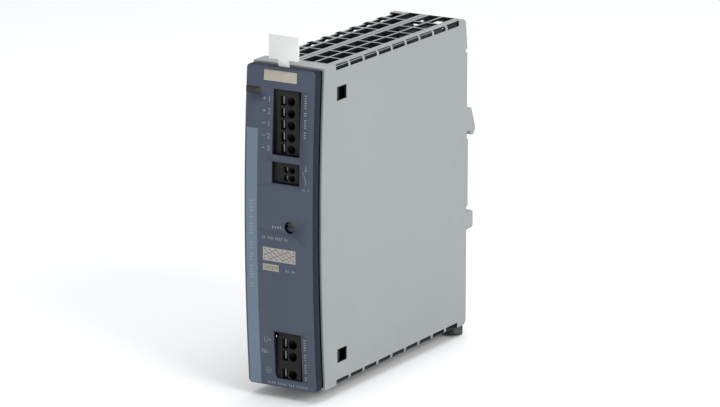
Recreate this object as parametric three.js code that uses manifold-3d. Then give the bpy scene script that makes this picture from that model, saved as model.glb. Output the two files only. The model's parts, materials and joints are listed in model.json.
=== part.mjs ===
// A slim power supply for a 35 mm top-hat rail, in millimetres.
// Origin: middle of the face that seats on the rail. +X to the right seen from the front,
// +Y to the rail, +Z up. The front faces -Y.
import * as THREE from "three";
import { mergeVertices } from "three/addons/utils/BufferGeometryUtils.js";
import Module from "manifold-3d";

const wasm = await Module();
wasm.setup();

// ---------------------------------------------------------------- driving sizes
const width = 34; // over both side walls
const height = 135; // housing, top to bottom
const depth = 125; // rail seat to the crown of the front
const bow = 2.8; // how far the front swells between its top and bottom ends
const wall = 1.2; // housing walls
const play = 0.2; // gap between pieces that fit into each other
const hair = 0.05; // gap between pieces that lie against each other
const bite = 0.5; // how far joined solids run into each other
const past = 1; // how far a cutting solid runs past what it cuts

// Housing
const seamX = -1.5; // where the two half shells meet
const seamRoom = 0.1; // half of the gap between the half shells
const seamChamfer = 0.35; // bevel along the seam that makes its groove
const seamLip = 2.1; // solid strip beside the seam on the top and the bottom
const tongueWide = 5; // tongues of the right half under the left one
const tongueReach = 3.5;
const tongueRoot = 7.5; // from the seam to the tongues' other end
const tongueBehind = 56; // crown of the front to the middle of the tongues
const tongueThick = 1.4;
const backStep = 1; // the back wall lies this far in front of the rail seat
const leanDepth = 1.5; // how far the upper back edge leans to the front
const leanHeight = 13.5; // and over which height
const backRound = 3; // rounding of the back corners
const notchTall = 1.6; // notches under the leaning part of the back edges
const notchDeep = 1.3;
const notchWide = 2.4;

// Ventilation, alike on the top and the bottom
const slotPitch = 11.2;
const slotWeb = 1.8; // between two corner slots
const ribWeb = 1.1; // between two windows
const frontBand = 8.8; // solid band behind the housing's front edge
const backBand = 4; // back wall's face to the last windows
const ventBelow = 2.7; // top face to the vent in the back wall
const ventTall = 3.3;
const cornerReach = 0.8; // least reach of a corner slot over the top face
const cornerBar = 1; // bar that runs along the corner inside the slots
const barFromSide = 0.4;
const barFromTop = 0.9;
const windowWidth = 5.5;
// Solid strip between the windows and the corner slots, how far the slots go down the side, the
// rounding of the webs between them, and how many of the last slots have no bar
const grilles = {
  right: { strip: 3.4, drop: 2.3, round: 1.8, bare: 2 },
  left: { strip: 1.3, drop: 3.8, round: 2.1, bare: 0 },
};

// 35 mm rail and what holds it
const railHeight = 35;
const railFlange = 1;
const railPlay = 0.15; // over each edge of the rail
const seatTop = 14.6;
const seatBottom = -15.2;
const hookTop = 27.7;
const hookRoot = 2.7; // reach of the hook at its top
const hookReach = 5.9;
const hookTip = 15.6; // height of the hook's tip
const hookSlot = 1.9; // gap between the rail plane and the hook's tip
const hookShoulder = 1.6; // height over the rail's edge at which the hook's tip begins
const hookWidth = 6;
const lugReach = 4.5;
const lugDrop = 7.8;
const lugRound = 1.3;
const lugChamfer = 0.9;

// Rail latch
const latchTravel = 4;
const latchWidth = 16;
const latchPlate = 1.6;
const latchFlange = 1.8; // the slider is this much wider each side behind the wall
const guideWall = 1.2;
const guideRise = 8; // housing bottom to the slider's guides
const noseLip = 1.8; // how far the nose grips over the rail's lower edge
const noseReach = 3.7;
const noseDrop = 6.5;
const noseGap = 0.35; // between the rail's flange and the nose's lip
const noseEdge = 0.9;
const footDrop = 4.8;
const footLength = 8.2;
const footWidth = 31;
const footGap = 0.4; // housing bottom to the foot
const footRound = 0.8;
const footHeel = 2.2; // flat of the foot's lower face
const footToe = 2.6;
const footToeRise = 1.4;
const pullWide = 8; // screwdriver hole in the foot's front
const pullDeep = 3;
const pullRoof = 1.2; // material over the screwdriver hole
const springRadius = 3;
const springWire = 0.8;
const springTurns = 5;
const springLength = 15;
const springTop = -34; // height of the spring's upper end
const shelfThick = 2; // shelf under the spring and tab over it
const shelfEdge = 1; // the shelf is this much wider each side than the spring

// Front cover
const coverInset = 0.6; // the cover is this much narrower each side than the housing
const coverDrop = 0.3; // the cover ends this much below the housing's top and above its bottom
const coverDepth = 4.4; // side of the cover, front to back
const coverWall = 1.8;
const coverRound = 1.6; // corner rounding, seen from the front
const shadowGap = 1.5; // between the cover's side and the housing's edge
const neckDepth = 6; // how far the cover's neck enters the housing
const neckWall = 1.2;
const snapWidth = 7.2; // windows in the housing's sides for the cover's snap arms
const snapHeight = 5.6;
const snapFromEnd = 12.3; // from the housing's top or bottom to the middle of the window
const snapBehind = 10.4; // from the housing's front edge to the window
const snapArm = 5;
const snapBarb = 3.4; // length of the barb at the arm's end
const snapShy = 0.4; // the barb stops this far inside the housing's face

// Circuit board
const boardThickness = 1.6;
const solderRoom = 3; // between the board and the right wall
const boardFromFront = 12; // crown of the front to the board's front edge
const boardFromBack = 14;
const boardFromEnds = 6.5; // housing's top or bottom to the board's edge
const standoffRadius = 2.2;
const standoffFromFront = 24;
const standoffFromEdge = 5;

// Terminal blocks, placed from the board's face and from the housing's ends
const blockWidth = 13.1;
const blockFromBoard = 1.3;
const blockRecess = 1.4; // the block's face lies this far behind the cover's face
const blockDepth = 13;
const blockFront = 1.2; // thickness of the block's face
const blockTrench = 1.2; // open gap along the block's right edge
const trenchRib = 1; // ribs that cross the gap between two poles
const wingBehind = 6; // block's face to the part of it that reaches the board
const poleWall = 1.1;
const openingRound = 0.3; // corners of the blocks and their openings

// Poles of each block, and the room from the lowest and the highest one to the opening's edges
const outputCount = 5;
const outputPitch = 5;
const outputUnder = 2.3;
const outputOver = 4.7;
const signalCount = 2;
const signalPitch = 3.45;
const signalUnder = 2.35;
const signalOver = 3.2;
const inputUnder = 2.1;
const inputSteps = [7.7, 5.1]; // from each pole to the one above it
const inputOver = 5.3;
const outputFromTop = 9.2; // housing top to the opening
const signalBelow = 2.8; // output opening to the signal opening
const inputFromBottom = 4.1; // housing bottom to the opening

// Wire entries and release slots, placed from the opening's right edge
const poleShapes = {
  output: { hole: 1.85, holeIn: 5.15, slotIn: 8.9, slotWide: 2.5, slotTall: 3.9 },
  signal: { hole: 1.4, holeIn: 4.3, slotIn: 7.2, slotWide: 1.8, slotTall: 2.4 },
  input: { hole: 2, holeIn: 5.15, slotIn: 8.9, slotWide: 2.6, slotTall: 4.2 },
};

// Clamps inside the poles
const leafThickness = 0.4;
const leafRoll = 0.6; // radius of the leaf's rolled end
const leafSlope = 0.85; // the leaf runs this much back for each unit across the pole
const leafPlay = 0.35; // leaf to the pole's walls
const contactThickness = 0.6;
const contactBehindHole = 0.15; // wire entry's edge to the contact bar
const tailThickness = 0.8;

// Trimmer, status window, plates
const trimmerBelow = 17.7; // signal opening to the middle of the trimmer
const trimmerFromBoard = 5.85;
const trimmerHole = 2.5;
const trimmerHead = 2.2;
const trimmerStub = 1.3; // radius of the adjuster's pin, which turns in the trimmer's body
const trimmerBody = 9;
const trimmerBodyDeep = 6;
const trimmerBehind = 17; // crown of the front to the trimmer's body
const trimmerRecess = 1.6;
const trimmerSlot = 0.8; // screwdriver slot
const windowFromTop = 9.3;
const windowTall = 2.9;
const windowWide = 6.7;
const windowDeep = 3.2; // how far the window reaches back along the cover's side
const windowPlay = 0.1;
const guideSize = 2;
const guideBehind = 17.5; // crown of the front to the guide's cross arm
const guideIn = 3.4; // cover's left edge to the light guide
const namePlateWide = 15.7;
const namePlateTall = 4.4;
const namePlateFromTop = 1.7;
const namePlateThick = 0.3;
const plateRound = 0.4; // corners of the name plate and the marking tag
const tagWide = 14.2;
const tagTall = 10.2;
const tagNeck = 5.1;
const tagThick = 0.9;
const tagPlay = 0.1;
const tagDeep = 5; // how far the tag's neck reaches below the housing's top
const tagRise = 2.3; // housing top to the tag's lower edge
const tagBehind = 2.2; // front face to the tag's middle

// Components on the board
const partsFromFront = 17; // board's front edge to the first component
const lowerRow = 14; // board's bottom edge to the middle of the lowest row
const rowPitch = 22;
const chokeRadius = 9;
const chokeTall = 11;
const chokeCoreRadius = 7.6;
const chokeHole = 5;
const chokeWire = 1.4;
const chokeGap = 4; // between the two windings
const filmLong = 16;
const filmThick = 8.5;
const filmTall = 14;
const fuseRadius = 2.6;
const fuseLong = 20;
const bulkRadius = 9;
const bulkLong = 34;
const sinkThick = 2.4;
const sinkWide = 19;
const sinkTall = 18;
const finLong = 5;
const finThick = 1.4;
const finCount = 4;
const chipThick = 4.4;
const chipWide = 10;
const chipTall = 13;
const tabThick = 1.4;
const tabAbove = 4;
const legLong = 4;
const legWide = 0.8;
const legPitch = 2.5;
const coreLong = 28;
const coreWide = 18;
const coreTall = 18;
const coreLeg = 5;
const coreYoke = 3;
const windingOver = 3; // how far the winding bulges past the core
const smallCapRadius = 5;
const smallCapTall = 18;
const smallCapPitch = 12;
const ventShare = 0.7; // vent's reach as a share of the can's radius
const ventWide = 0.6;
const ventDeep = 0.4;
const relayLong = 20;
const relayWide = 10;
const relayTall = 15;
const partGap = 3; // between two components of one row

// ---------------------------------------------------------------- derived places
const right = width / 2;
const top = height / 2;
const back = -backStep;
const frontEnd = -(depth - bow); // front face at its top and bottom ends
const edgeBehind = coverDepth + shadowGap;
const coverHalf = right - coverInset;
const coverTop = top - coverDrop;
const lean = Math.atan2(leanDepth, leanHeight);
const boardRight = right - wall - solderRoom;
const boardFace = boardRight - boardThickness;
const boardFront = -depth + boardFromFront;
const boardBack = -boardFromBack;
const boardTop = top - boardFromEnds;
const openingRight = boardFace - blockFromBoard;
const openingLeft = openingRight - blockWidth;
const seatEdge = railHeight / 2 + railPlay;
const innerBack = back - wall;

// The front face, seen from the side, is an arc that swells by `bow`.
function frontAt(z) {
  return frontEnd - bow * (1 - (z / top) ** 2);
}

function ordered(a, b) {
  return [Math.min(a, b), Math.max(a, b)];
}

// ---------------------------------------------------------------- solids
function solidOf(geometry) {
  const bare = geometry.index ? geometry.toNonIndexed() : geometry.clone();
  bare.deleteAttribute("normal");
  bare.deleteAttribute("uv");
  const merged = mergeVertices(bare, 1e-4);
  return new wasm.Manifold(
    new wasm.Mesh({
      numProp: 3,
      vertProperties: merged.attributes.position.array,
      triVerts: new Uint32Array(merged.index.array),
    }),
  );
}

function geometryOf(solid) {
  const mesh = solid.getMesh();
  const geometry = new THREE.BufferGeometry();
  geometry.setAttribute("position", new THREE.BufferAttribute(mesh.vertProperties, 3));
  geometry.setIndex(new THREE.BufferAttribute(mesh.triVerts, 1));
  const flat = geometry.toNonIndexed();
  flat.computeVertexNormals();
  return flat;
}

function block([x0, x1], [y0, y1], [z0, z1]) {
  const geometry = new THREE.BoxGeometry(x1 - x0, y1 - y0, z1 - z0);
  geometry.translate((x0 + x1) / 2, (y0 + y1) / 2, (z0 + z1) / 2);
  return solidOf(geometry);
}

const sideView = new THREE.Matrix4().makeBasis(
  new THREE.Vector3(0, 1, 0),
  new THREE.Vector3(0, 0, 1),
  new THREE.Vector3(1, 0, 0),
);
const frontView = new THREE.Matrix4().makeBasis(
  new THREE.Vector3(1, 0, 0),
  new THREE.Vector3(0, 0, 1),
  new THREE.Vector3(0, -1, 0),
);

function extruded(shape, length, curveSegments = 6) {
  return new THREE.ExtrudeGeometry(shape, { depth: length, bevelEnabled: false, curveSegments });
}

// An outline drawn in y and z, pushed from x0 to x1.
function fromSide(shape, x0, x1) {
  return solidOf(extruded(shape, x1 - x0).applyMatrix4(sideView).translate(x0, 0, 0));
}

// An outline drawn in x and z, pushed from y0 to y1.
function fromFront(shape, y0, y1) {
  return solidOf(extruded(shape, y1 - y0).applyMatrix4(frontView).translate(0, y1, 0));
}

// An outline drawn in x and y, pushed from z0 to z1.
function fromAbove(shape, z0, z1) {
  return solidOf(extruded(shape, z1 - z0).translate(0, 0, z0));
}

function polygon(points) {
  return new THREE.Shape(points.map(([a, b]) => new THREE.Vector2(a, b)));
}

// A rectangle with its own rounding at each corner: lower left, lower right, upper right, upper left.
function roundedRectangle(x0, z0, x1, z1, [ll, lr, ur, ul]) {
  const shape = new THREE.Shape();
  shape.moveTo(x0 + ll, z0);
  shape.lineTo(x1 - lr, z0);
  if (lr) shape.absarc(x1 - lr, z0 + lr, lr, -Math.PI / 2, 0, false);
  shape.lineTo(x1, z1 - ur);
  if (ur) shape.absarc(x1 - ur, z1 - ur, ur, 0, Math.PI / 2, false);
  shape.lineTo(x0 + ul, z1);
  if (ul) shape.absarc(x0 + ul, z1 - ul, ul, Math.PI / 2, Math.PI, false);
  shape.lineTo(x0, z0 + ll);
  if (ll) shape.absarc(x0 + ll, z0 + ll, ll, Math.PI, 1.5 * Math.PI, false);
  return shape;
}

// A round bar along one axis, from a to b, with its middle line at `at` in the other two.
function bar(axis, radius, a, b, at, segments = 20) {
  const geometry = new THREE.CylinderGeometry(radius, radius, b - a, segments);
  if (axis === "x") geometry.rotateZ(-Math.PI / 2).translate((a + b) / 2, at[0], at[1]);
  if (axis === "y") geometry.translate(at[0], (a + b) / 2, at[1]);
  if (axis === "z") geometry.rotateX(Math.PI / 2).translate(at[0], at[1], (a + b) / 2);
  return solidOf(geometry);
}

function joined(solids) {
  return solids.reduce((sum, next) => sum.add(next));
}

function cut(solid, tools) {
  return tools.length ? solid.subtract(joined(tools)) : solid;
}

// ---------------------------------------------------------------- looks and nodes
const finishes = {
  shell: { color: 0xacb1b1, roughness: 0.62, metalness: 0 },
  cover: { color: 0x525c6c, roughness: 0.5, metalness: 0 },
  black: { color: 0x262626, roughness: 0.55, metalness: 0 },
  foot: { color: 0x1d221f, roughness: 0.5, metalness: 0 },
  window: { color: 0x1c1714, roughness: 0.15, metalness: 0 },
  clear: { color: 0xdfe6e8, roughness: 0.08, metalness: 0 },
  tag: { color: 0xe4e4e0, roughness: 0.6, metalness: 0 },
  plate: { color: 0xb9b4a4, roughness: 0.35, metalness: 0.6 },
  steel: { color: 0xb8b9b6, roughness: 0.3, metalness: 1 },
  tin: { color: 0xc9c7be, roughness: 0.35, metalness: 1 },
  board: { color: 0x1f5a3a, roughness: 0.45, metalness: 0 },
  aluminium: { color: 0x9fa3a6, roughness: 0.4, metalness: 1 },
  sleeve: { color: 0x20242c, roughness: 0.35, metalness: 0 },
  ferrite: { color: 0x2d2c2e, roughness: 0.7, metalness: 0 },
  copper: { color: 0x9c5a2c, roughness: 0.35, metalness: 1 },
  tape: { color: 0xd8b23a, roughness: 0.5, metalness: 0 },
  film: { color: 0xc9a52f, roughness: 0.4, metalness: 0 },
  ceramic: { color: 0xd9d4c6, roughness: 0.35, metalness: 0 },
  trimmer: { color: 0xd9dadb, roughness: 0.45, metalness: 0 },
  relay: { color: 0x2a3a5c, roughness: 0.4, metalness: 0 },
};

function node(name, solid, finish, place = [0, 0, 0]) {
  const mesh = new THREE.Mesh(geometryOf(solid), new THREE.MeshStandardMaterial(finishes[finish]));
  mesh.name = name;
  mesh.position.set(...place);
  return mesh;
}

// ---------------------------------------------------------------- housing
// Side outline of the housing, `inset` inside its outer faces. An inset outline runs out of the
// front, because the housing is open there.
function housingOutline(inset) {
  const end = top - inset;
  const rear = back - inset;
  const leanFoot = top - leanHeight - inset * Math.tan(lean / 2);
  const leanTop = back - leanDepth - inset * Math.tan((Math.PI / 2 - lean) / 2);
  const round = Math.max(backRound - inset, 0.4);
  const shape = new THREE.Shape();
  const steps = 12;
  if (inset) {
    shape.moveTo(-depth - wall, end);
    shape.lineTo(-depth - wall, -end);
  } else {
    shape.moveTo(frontAt(end) + edgeBehind, end);
    for (let i = 1; i <= steps; i += 1) {
      const z = end - (2 * end * i) / steps;
      shape.lineTo(frontAt(z) + edgeBehind, z);
    }
  }
  shape.lineTo(rear - round, -end);
  shape.quadraticCurveTo(rear, -end, rear, -end + round);
  shape.lineTo(rear, leanFoot);
  shape.lineTo(leanTop + round * Math.sin(lean), end - round * Math.cos(lean));
  shape.quadraticCurveTo(leanTop, end, leanTop - round, end);
  return shape;
}

// Rail hook, seen from the side: it reaches over the rail's upper edge.
function hookOutline() {
  const shoulder = seatEdge + hookShoulder;
  const middle = (hookReach + hookSlot) / 2;
  const shape = new THREE.Shape();
  shape.moveTo(back - bite, hookTop);
  shape.lineTo(hookRoot, hookTop);
  shape.lineTo(hookReach, shoulder);
  shape.quadraticCurveTo(hookReach, hookTip, middle, hookTip);
  shape.quadraticCurveTo(hookSlot, hookTip, hookSlot, (hookTip + seatEdge) / 2);
  shape.lineTo(hookSlot, seatEdge);
  shape.lineTo(back - bite, seatEdge);
  return shape;
}

// Lug under the rail's lower edge.
function lugOutline() {
  const high = -seatEdge;
  const low = high - lugDrop;
  const shape = new THREE.Shape();
  shape.moveTo(back - bite, high);
  shape.lineTo(lugReach - lugRound, high);
  shape.quadraticCurveTo(lugReach, high, lugReach, high - lugRound);
  shape.lineTo(lugReach, low + lugChamfer);
  shape.lineTo(lugReach - lugChamfer, low);
  shape.lineTo(back - bite, low);
  return shape;
}

const grilleFront = frontAt(top) + edgeBehind + frontBand;
const grilleBack = back - backBand;
const slotCount = Math.floor((grilleBack - grilleFront + slotWeb) / slotPitch);

const grilleLength = slotCount * slotPitch - slotWeb;

// Where the grille of one half lies, from the seam outwards.
function grillePlan(side) {
  const { strip, drop, round } = side > 0 ? grilles.right : grilles.left;
  const seamEdge = seamX + side * seamLip;
  const pitch = windowWidth + ribWeb;
  const room = Math.abs(side * right - seamEdge) - strip - cornerReach;
  const columns = Math.floor((room + ribWeb) / pitch);
  const cornerEdge = seamEdge + side * (columns * pitch - ribWeb + strip);
  return { seamEdge, pitch, columns, cornerEdge, drop, round };
}

// Slots over the long edge of one half, and rows of windows beside the seam, on the top and the
// bottom. The webs between the slots are rounded, and the last windows run up to the back wall.
function grilleCuts(side) {
  const { seamEdge, pitch, columns, cornerEdge, drop, round } = grillePlan(side);
  const outer = side * (right + past);
  const arc = side * (right - round);
  const along = [grilleFront, grilleFront + grilleLength];
  const cuts = [];
  for (const up of [-1, 1]) {
    const down = ordered(up * (top - drop), up * (top + past));
    const through = ordered(up * (top - wall - past), up * (top + past));
    const under = ordered(up * (top - drop), up * (top - wall));
    const arcZ = up * (top - round);
    const corner = block(ordered(arc, outer), along, ordered(arcZ, up * (top + past)));
    cuts.push(corner.subtract(bar("y", round, ...along, [arc, arcZ], 24)));
    for (let i = 0; i < slotCount; i += 1) {
      const y0 = grilleFront + i * slotPitch;
      const y1 = i === slotCount - 1 ? grilleBack : y0 + slotPitch - ribWeb;
      const slot = [y0, y0 + slotPitch - slotWeb];
      cuts.push(block(ordered(cornerEdge, outer), slot, down));
      cuts.push(block(ordered(side * (right - wall - past), outer), slot, under));
      for (let c = 0; c < columns; c += 1) {
        const x0 = seamEdge + side * c * pitch;
        cuts.push(block(ordered(x0, x0 + side * windowWidth), [y0, y1], through));
      }
    }
  }
  return cuts;
}

// Bars that run along the corners inside the slots.
function cornerBars(side) {
  const { bare } = side > 0 ? grilles.right : grilles.left;
  const far = right - barFromSide;
  const high = top - barFromTop;
  const end = grilleFront + grilleLength - bare * slotPitch + bite;
  return [1, -1].map((up) =>
    block(
      ordered(side * (far - cornerBar), side * far),
      [grilleFront - bite, end],
      ordered(up * (high - cornerBar), up * high),
    ),
  );
}

// Vent in the back wall, under the last window beside the seam.
function backVent(side) {
  const x0 = seamX + side * seamLip;
  const high = top - ventBelow;
  const y = [innerBack - leanDepth - past, past];
  return block(ordered(x0, x0 + side * windowWidth), y, [high - ventTall, high]);
}

// Notches at the foot of the leaning part of the back edges.
function backNotches(side) {
  const foot = top - leanHeight;
  const x = ordered(side * (right - notchWide), side * (right + past));
  return [block(x, [back - notchDeep, past], [foot - notchTall, foot])];
}

const snapMiddles = [top - snapFromEnd, -top + snapFromEnd];

function snapFront(z) {
  return frontAt(z) + edgeBehind + snapBehind;
}

// Windows for the cover's snap arms.
function snapCuts(side) {
  return snapMiddles.map((z) =>
    block(
      ordered(side * (right - wall - past), side * (right + past)),
      [snapFront(z), snapFront(z) + snapWidth],
      [z - snapHeight / 2, z + snapHeight / 2],
    ),
  );
}

const latchHalf = latchWidth / 2;
const plateHalf = latchHalf + latchFlange;
const plateBack = innerBack - play;
const plateFront = plateBack - latchPlate;
const noseTop = -seatEdge;

// The way of the latch: a tall window in the back wall and a passage through the bottom.
function latchCuts() {
  const narrow = latchHalf + play;
  const wide = plateHalf + play;
  return [
    block([-narrow, narrow], [innerBack - past, past], [-top - past, noseTop + play]),
    block([-wide, wide], [plateFront - play, past], [-top - past, -top + wall + past]),
  ];
}

const guideTop = springTop - latchTravel; // the latch's spring tab stays above the guides
const guideBottom = -top + guideRise;

// L-shaped guide that keeps the slider against the back wall.
function latchGuide(side) {
  const inner = side * (plateHalf + play);
  const outer = inner + side * guideWall;
  const lip = side * (plateHalf - guideWall);
  const front = plateFront - play;
  const heights = [guideBottom, guideTop];
  return [
    block(ordered(inner, outer), [front - guideWall, innerBack + bite], heights),
    block(ordered(lip, outer), [front - guideWall, front], heights),
  ];
}

const springX = seamX + seamRoom + springRadius + shelfThick;
const springY = plateFront - play - guideWall - springRadius;
const springBottom = springTop - springLength;

// Shelf that the latch spring stands on.
function springShelf() {
  const edge = springRadius + shelfEdge;
  const heights = [springBottom - shelfThick, springBottom - hair];
  return [
    block([springX - edge, springX + edge], [springY - edge, plateFront - play], heights),
    block([springX + springRadius, right - wall + bite], [springY - edge, springY + springRadius], heights),
  ];
}

const standoffs = [1, -1].flatMap((up) => [
  [boardFront + standoffFromFront, up * (boardTop - standoffFromEdge)],
  [boardBack - standoffFromEdge, up * (boardTop - standoffFromEdge)],
]);

// Posts on the right wall that carry the circuit board.
function boardPosts() {
  return standoffs.map((at) => bar("x", standoffRadius, boardRight + hair, right - wall + bite, at, 16));
}

// Tongue on the right half that reaches under the left one, at the top and the bottom.
function seamTongues() {
  const middle = -depth + tongueBehind;
  const y = [middle - tongueWide / 2, middle + tongueWide / 2];
  const face = top - wall - play;
  const under = face - tongueThick;
  const root = top - wall + bite;
  return [1, -1].flatMap((up) => [
    block([seamX - tongueReach, seamX + tongueRoot], y, ordered(up * under, up * face)),
    block([seamX + seamChamfer, seamX + seamLip], y, ordered(up * under, up * root)),
  ]);
}

// One half shell. side is +1 for the right half and -1 for the left.
function halfShell(side) {
  const near = seamX + side * seamRoom;
  const x = ordered(near, side * right);
  const cavity = ordered(near - side * past, side * (right - wall));
  const hooks = ordered(side * (right - hookWidth), side * right);
  const seat = polygon([
    [back - bite, seatBottom],
    [0, seatBottom],
    [0, seatTop],
    [back - bite, seatTop],
  ]);
  const added = [fromSide(hookOutline(), ...hooks), fromSide(lugOutline(), ...hooks), fromSide(seat, ...x)];
  const groove = ordered(near - side * past, near + side * seamChamfer);
  const grooves = [1, -1].map((up) =>
    block(groove, [-depth, past], ordered(up * (top - seamChamfer), up * (top + past))),
  );
  const shell = cut(joined([fromSide(housingOutline(0), ...x), ...added]), [
    fromSide(housingOutline(wall), ...cavity),
    ...grilleCuts(side),
    ...snapCuts(side),
    ...latchCuts(),
    backVent(side),
    ...backNotches(side),
    ...grooves,
  ]);
  const inside = [...latchGuide(side), ...cornerBars(side)];
  if (side > 0) inside.push(...springShelf(), ...boardPosts(), ...seamTongues());
  return shell.add(joined(inside));
}

// ---------------------------------------------------------------- front cover
// Outline between two copies of the front arc, from `near` to `far` behind the face.
function frontSlice(near, far, end) {
  const steps = 16;
  const heights = Array.from({ length: steps + 1 }, (_, i) => end - (2 * end * i) / steps);
  const face = heights.map((z) => [frontAt(z) + near, z]);
  const rear = heights.reverse().map((z) => [frontAt(z) + far, z]);
  return polygon([...face, ...rear]);
}

// Heights of the poles over their opening's lower edge, from the top one down.
function evenRises(count, pitch, under) {
  return Array.from({ length: count }, (_, i) => under + (count - 1 - i) * pitch);
}

const rises = {
  output: evenRises(outputCount, outputPitch, outputUnder),
  signal: evenRises(signalCount, signalPitch, signalUnder),
  input: [inputUnder + inputSteps[0] + inputSteps[1], inputUnder + inputSteps[0], inputUnder],
};
const outputHigh = top - outputFromTop;
const outputLow = outputHigh - outputOver - rises.output[0];
const signalHigh = outputLow - signalBelow;
const signalLow = signalHigh - signalOver - rises.signal[0];
const inputLow = -top + inputFromBottom;
const openings = {
  output: [outputLow, outputHigh],
  signal: [signalLow, signalHigh],
  input: [inputLow, inputLow + rises.input[0] + inputOver],
};
// Lower left corner of each opening
const cornerOf = { output: openingRound, signal: openingRound, input: coverRound };
const trimmerX = boardFace - trimmerFromBoard;
const trimmerZ = signalLow - trimmerBelow;
const windowTop = top - windowFromTop;
const tagY = frontAt(top) + tagBehind;
const neckBack = frontAt(top) + edgeBehind + neckDepth;

function openingCorners(name) {
  return [cornerOf[name], openingRound, openingRound, openingRound];
}

function coverBody() {
  const r = coverRound;
  const face = roundedRectangle(-coverHalf, -coverTop, coverHalf, coverTop, [r, r, r, r]);
  return fromSide(frontSlice(0, coverDepth, coverTop), -coverHalf, coverHalf).intersect(
    fromFront(face, -depth - past, 0),
  );
}

// Snap arm that reaches from the neck into a side window of the housing.
function snapArmSolids(side, z) {
  const outer = side * (right - wall - play);
  const inner = outer - side * neckWall;
  const root = outer - side * bite;
  const tip = side * (right - snapShy);
  const start = snapFront(z) + play;
  const end = start + snapBarb;
  const heights = [z - snapArm / 2, z + snapArm / 2];
  const barb = polygon([
    [root, start],
    [tip, start],
    [tip, (start + end) / 2],
    [root, end],
  ]);
  return [block(ordered(inner, outer), [neckBack - bite, end], heights), fromAbove(barb, ...heights)];
}

function statusRegion(slack) {
  return block(
    [-coverHalf - past, -coverHalf + windowWide - slack],
    [-depth - past, frontAt(windowTop) + windowDeep - slack],
    [windowTop - windowTall + slack, windowTop - slack],
  );
}

function coverSolid() {
  const neckHalf = right - wall - play;
  const neckTop = top - wall - play;
  const inside = neckHalf - neckWall;
  const insideTop = neckTop - neckWall;
  const skin = fromSide(frontSlice(-bow - past, coverWall, top), -right, right);
  const neck = block([-neckHalf, neckHalf], [-depth - past, neckBack], [-neckTop, neckTop]).subtract(skin);
  const deep = [-depth - past, neckBack + past];
  const hollow = block([-inside, inside], deep, [-insideTop, insideTop]).subtract(skin);
  const holes = Object.entries(openings).map(([name, [low, high]]) =>
    fromFront(
      roundedRectangle(openingLeft, low, openingRight, high, openingCorners(name)),
      -depth - past,
      neckBack,
    ),
  );
  const trimmerBore = bar("y", trimmerHole, -depth - past, neckBack, [trimmerX, trimmerZ], 24);
  const tagSlot = block(
    [-tagNeck / 2 - play, tagNeck / 2 + play],
    [tagY - tagThick / 2 - tagPlay, tagY + tagThick / 2 + tagPlay],
    [insideTop - past, top + past],
  );
  const arms = snapMiddles.flatMap((z) => [...snapArmSolids(1, z), ...snapArmSolids(-1, z)]);
  const body = cut(coverBody().add(neck), [hollow, ...holes, trimmerBore, tagSlot, statusRegion(0)]);
  return body.add(joined(arms));
}

// Smoked window that wraps round the left edge of the cover.
function statusWindow() {
  const inside = right - wall - play - neckWall;
  const skin = fromSide(frontSlice(-bow - past, coverWall, top), -right, right);
  const hollow = block([-inside, right], [-depth - past, 0], [-top, top]).subtract(skin);
  return coverBody().intersect(statusRegion(windowPlay)).subtract(hollow);
}

// Light guide from the board's lamp to the status window.
function lightGuide() {
  const x = -coverHalf + guideIn;
  const z = windowTop - windowTall / 2;
  const low = z - guideSize / 2;
  const high = z + guideSize / 2;
  const across = -depth + guideBehind;
  return joined([
    block([x, x + guideSize], [frontAt(z) + coverWall + play, across + guideSize], [low, high]),
    block([x, boardFace - hair], [across, across + guideSize], [low, high]),
  ]);
}

// Blank name plate that follows the bow of the front.
function namePlate() {
  const high = top - namePlateFromTop;
  const strip = fromSide(frontSlice(-namePlateThick - hair, -hair, top), -right, right);
  const outline = roundedRectangle(
    -namePlateWide / 2,
    high - namePlateTall,
    namePlateWide / 2,
    high,
    new Array(4).fill(plateRound),
  );
  return strip.intersect(fromFront(outline, -depth - past, 0));
}

// Marking tag: a thin plate on a neck that stands in the slot in the cover's top.
function markingTag() {
  const low = top + tagRise;
  const corners = new Array(4).fill(plateRound);
  const face = roundedRectangle(-tagWide / 2, low, tagWide / 2, low + tagTall, corners);
  const y = [tagY - tagThick / 2, tagY + tagThick / 2];
  return fromFront(face, ...y).add(block([-tagNeck / 2, tagNeck / 2], y, [top - tagDeep, low + bite]));
}

// ---------------------------------------------------------------- terminals
// Each pole has a round wire entry, a release slot, a spring leaf and a contact bar.
function polesOf(name) {
  const [low, high] = openings[name];
  const shape = poleShapes[name];
  const steps = rises[name].slice(1).map((rise, i) => rises[name][i] - rise);
  return rises[name].map((rise, i) => ({
    ...shape,
    name: `${name}_${i + 1}`,
    z: low + rise,
    face: frontAt((low + high) / 2) + blockRecess,
    half: (Math.min(...steps) - poleWall) / 2,
    holeX: openingRight - shape.holeIn,
    slotX: openingRight - shape.slotIn,
  }));
}

function contactX(pole) {
  return pole.holeX + pole.hole + contactBehindHole;
}

function leafPivot(pole) {
  return [pole.slotX - pole.slotWide / 2 + bite, pole.face + blockFront + leafRoll + leafPlay];
}

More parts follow.
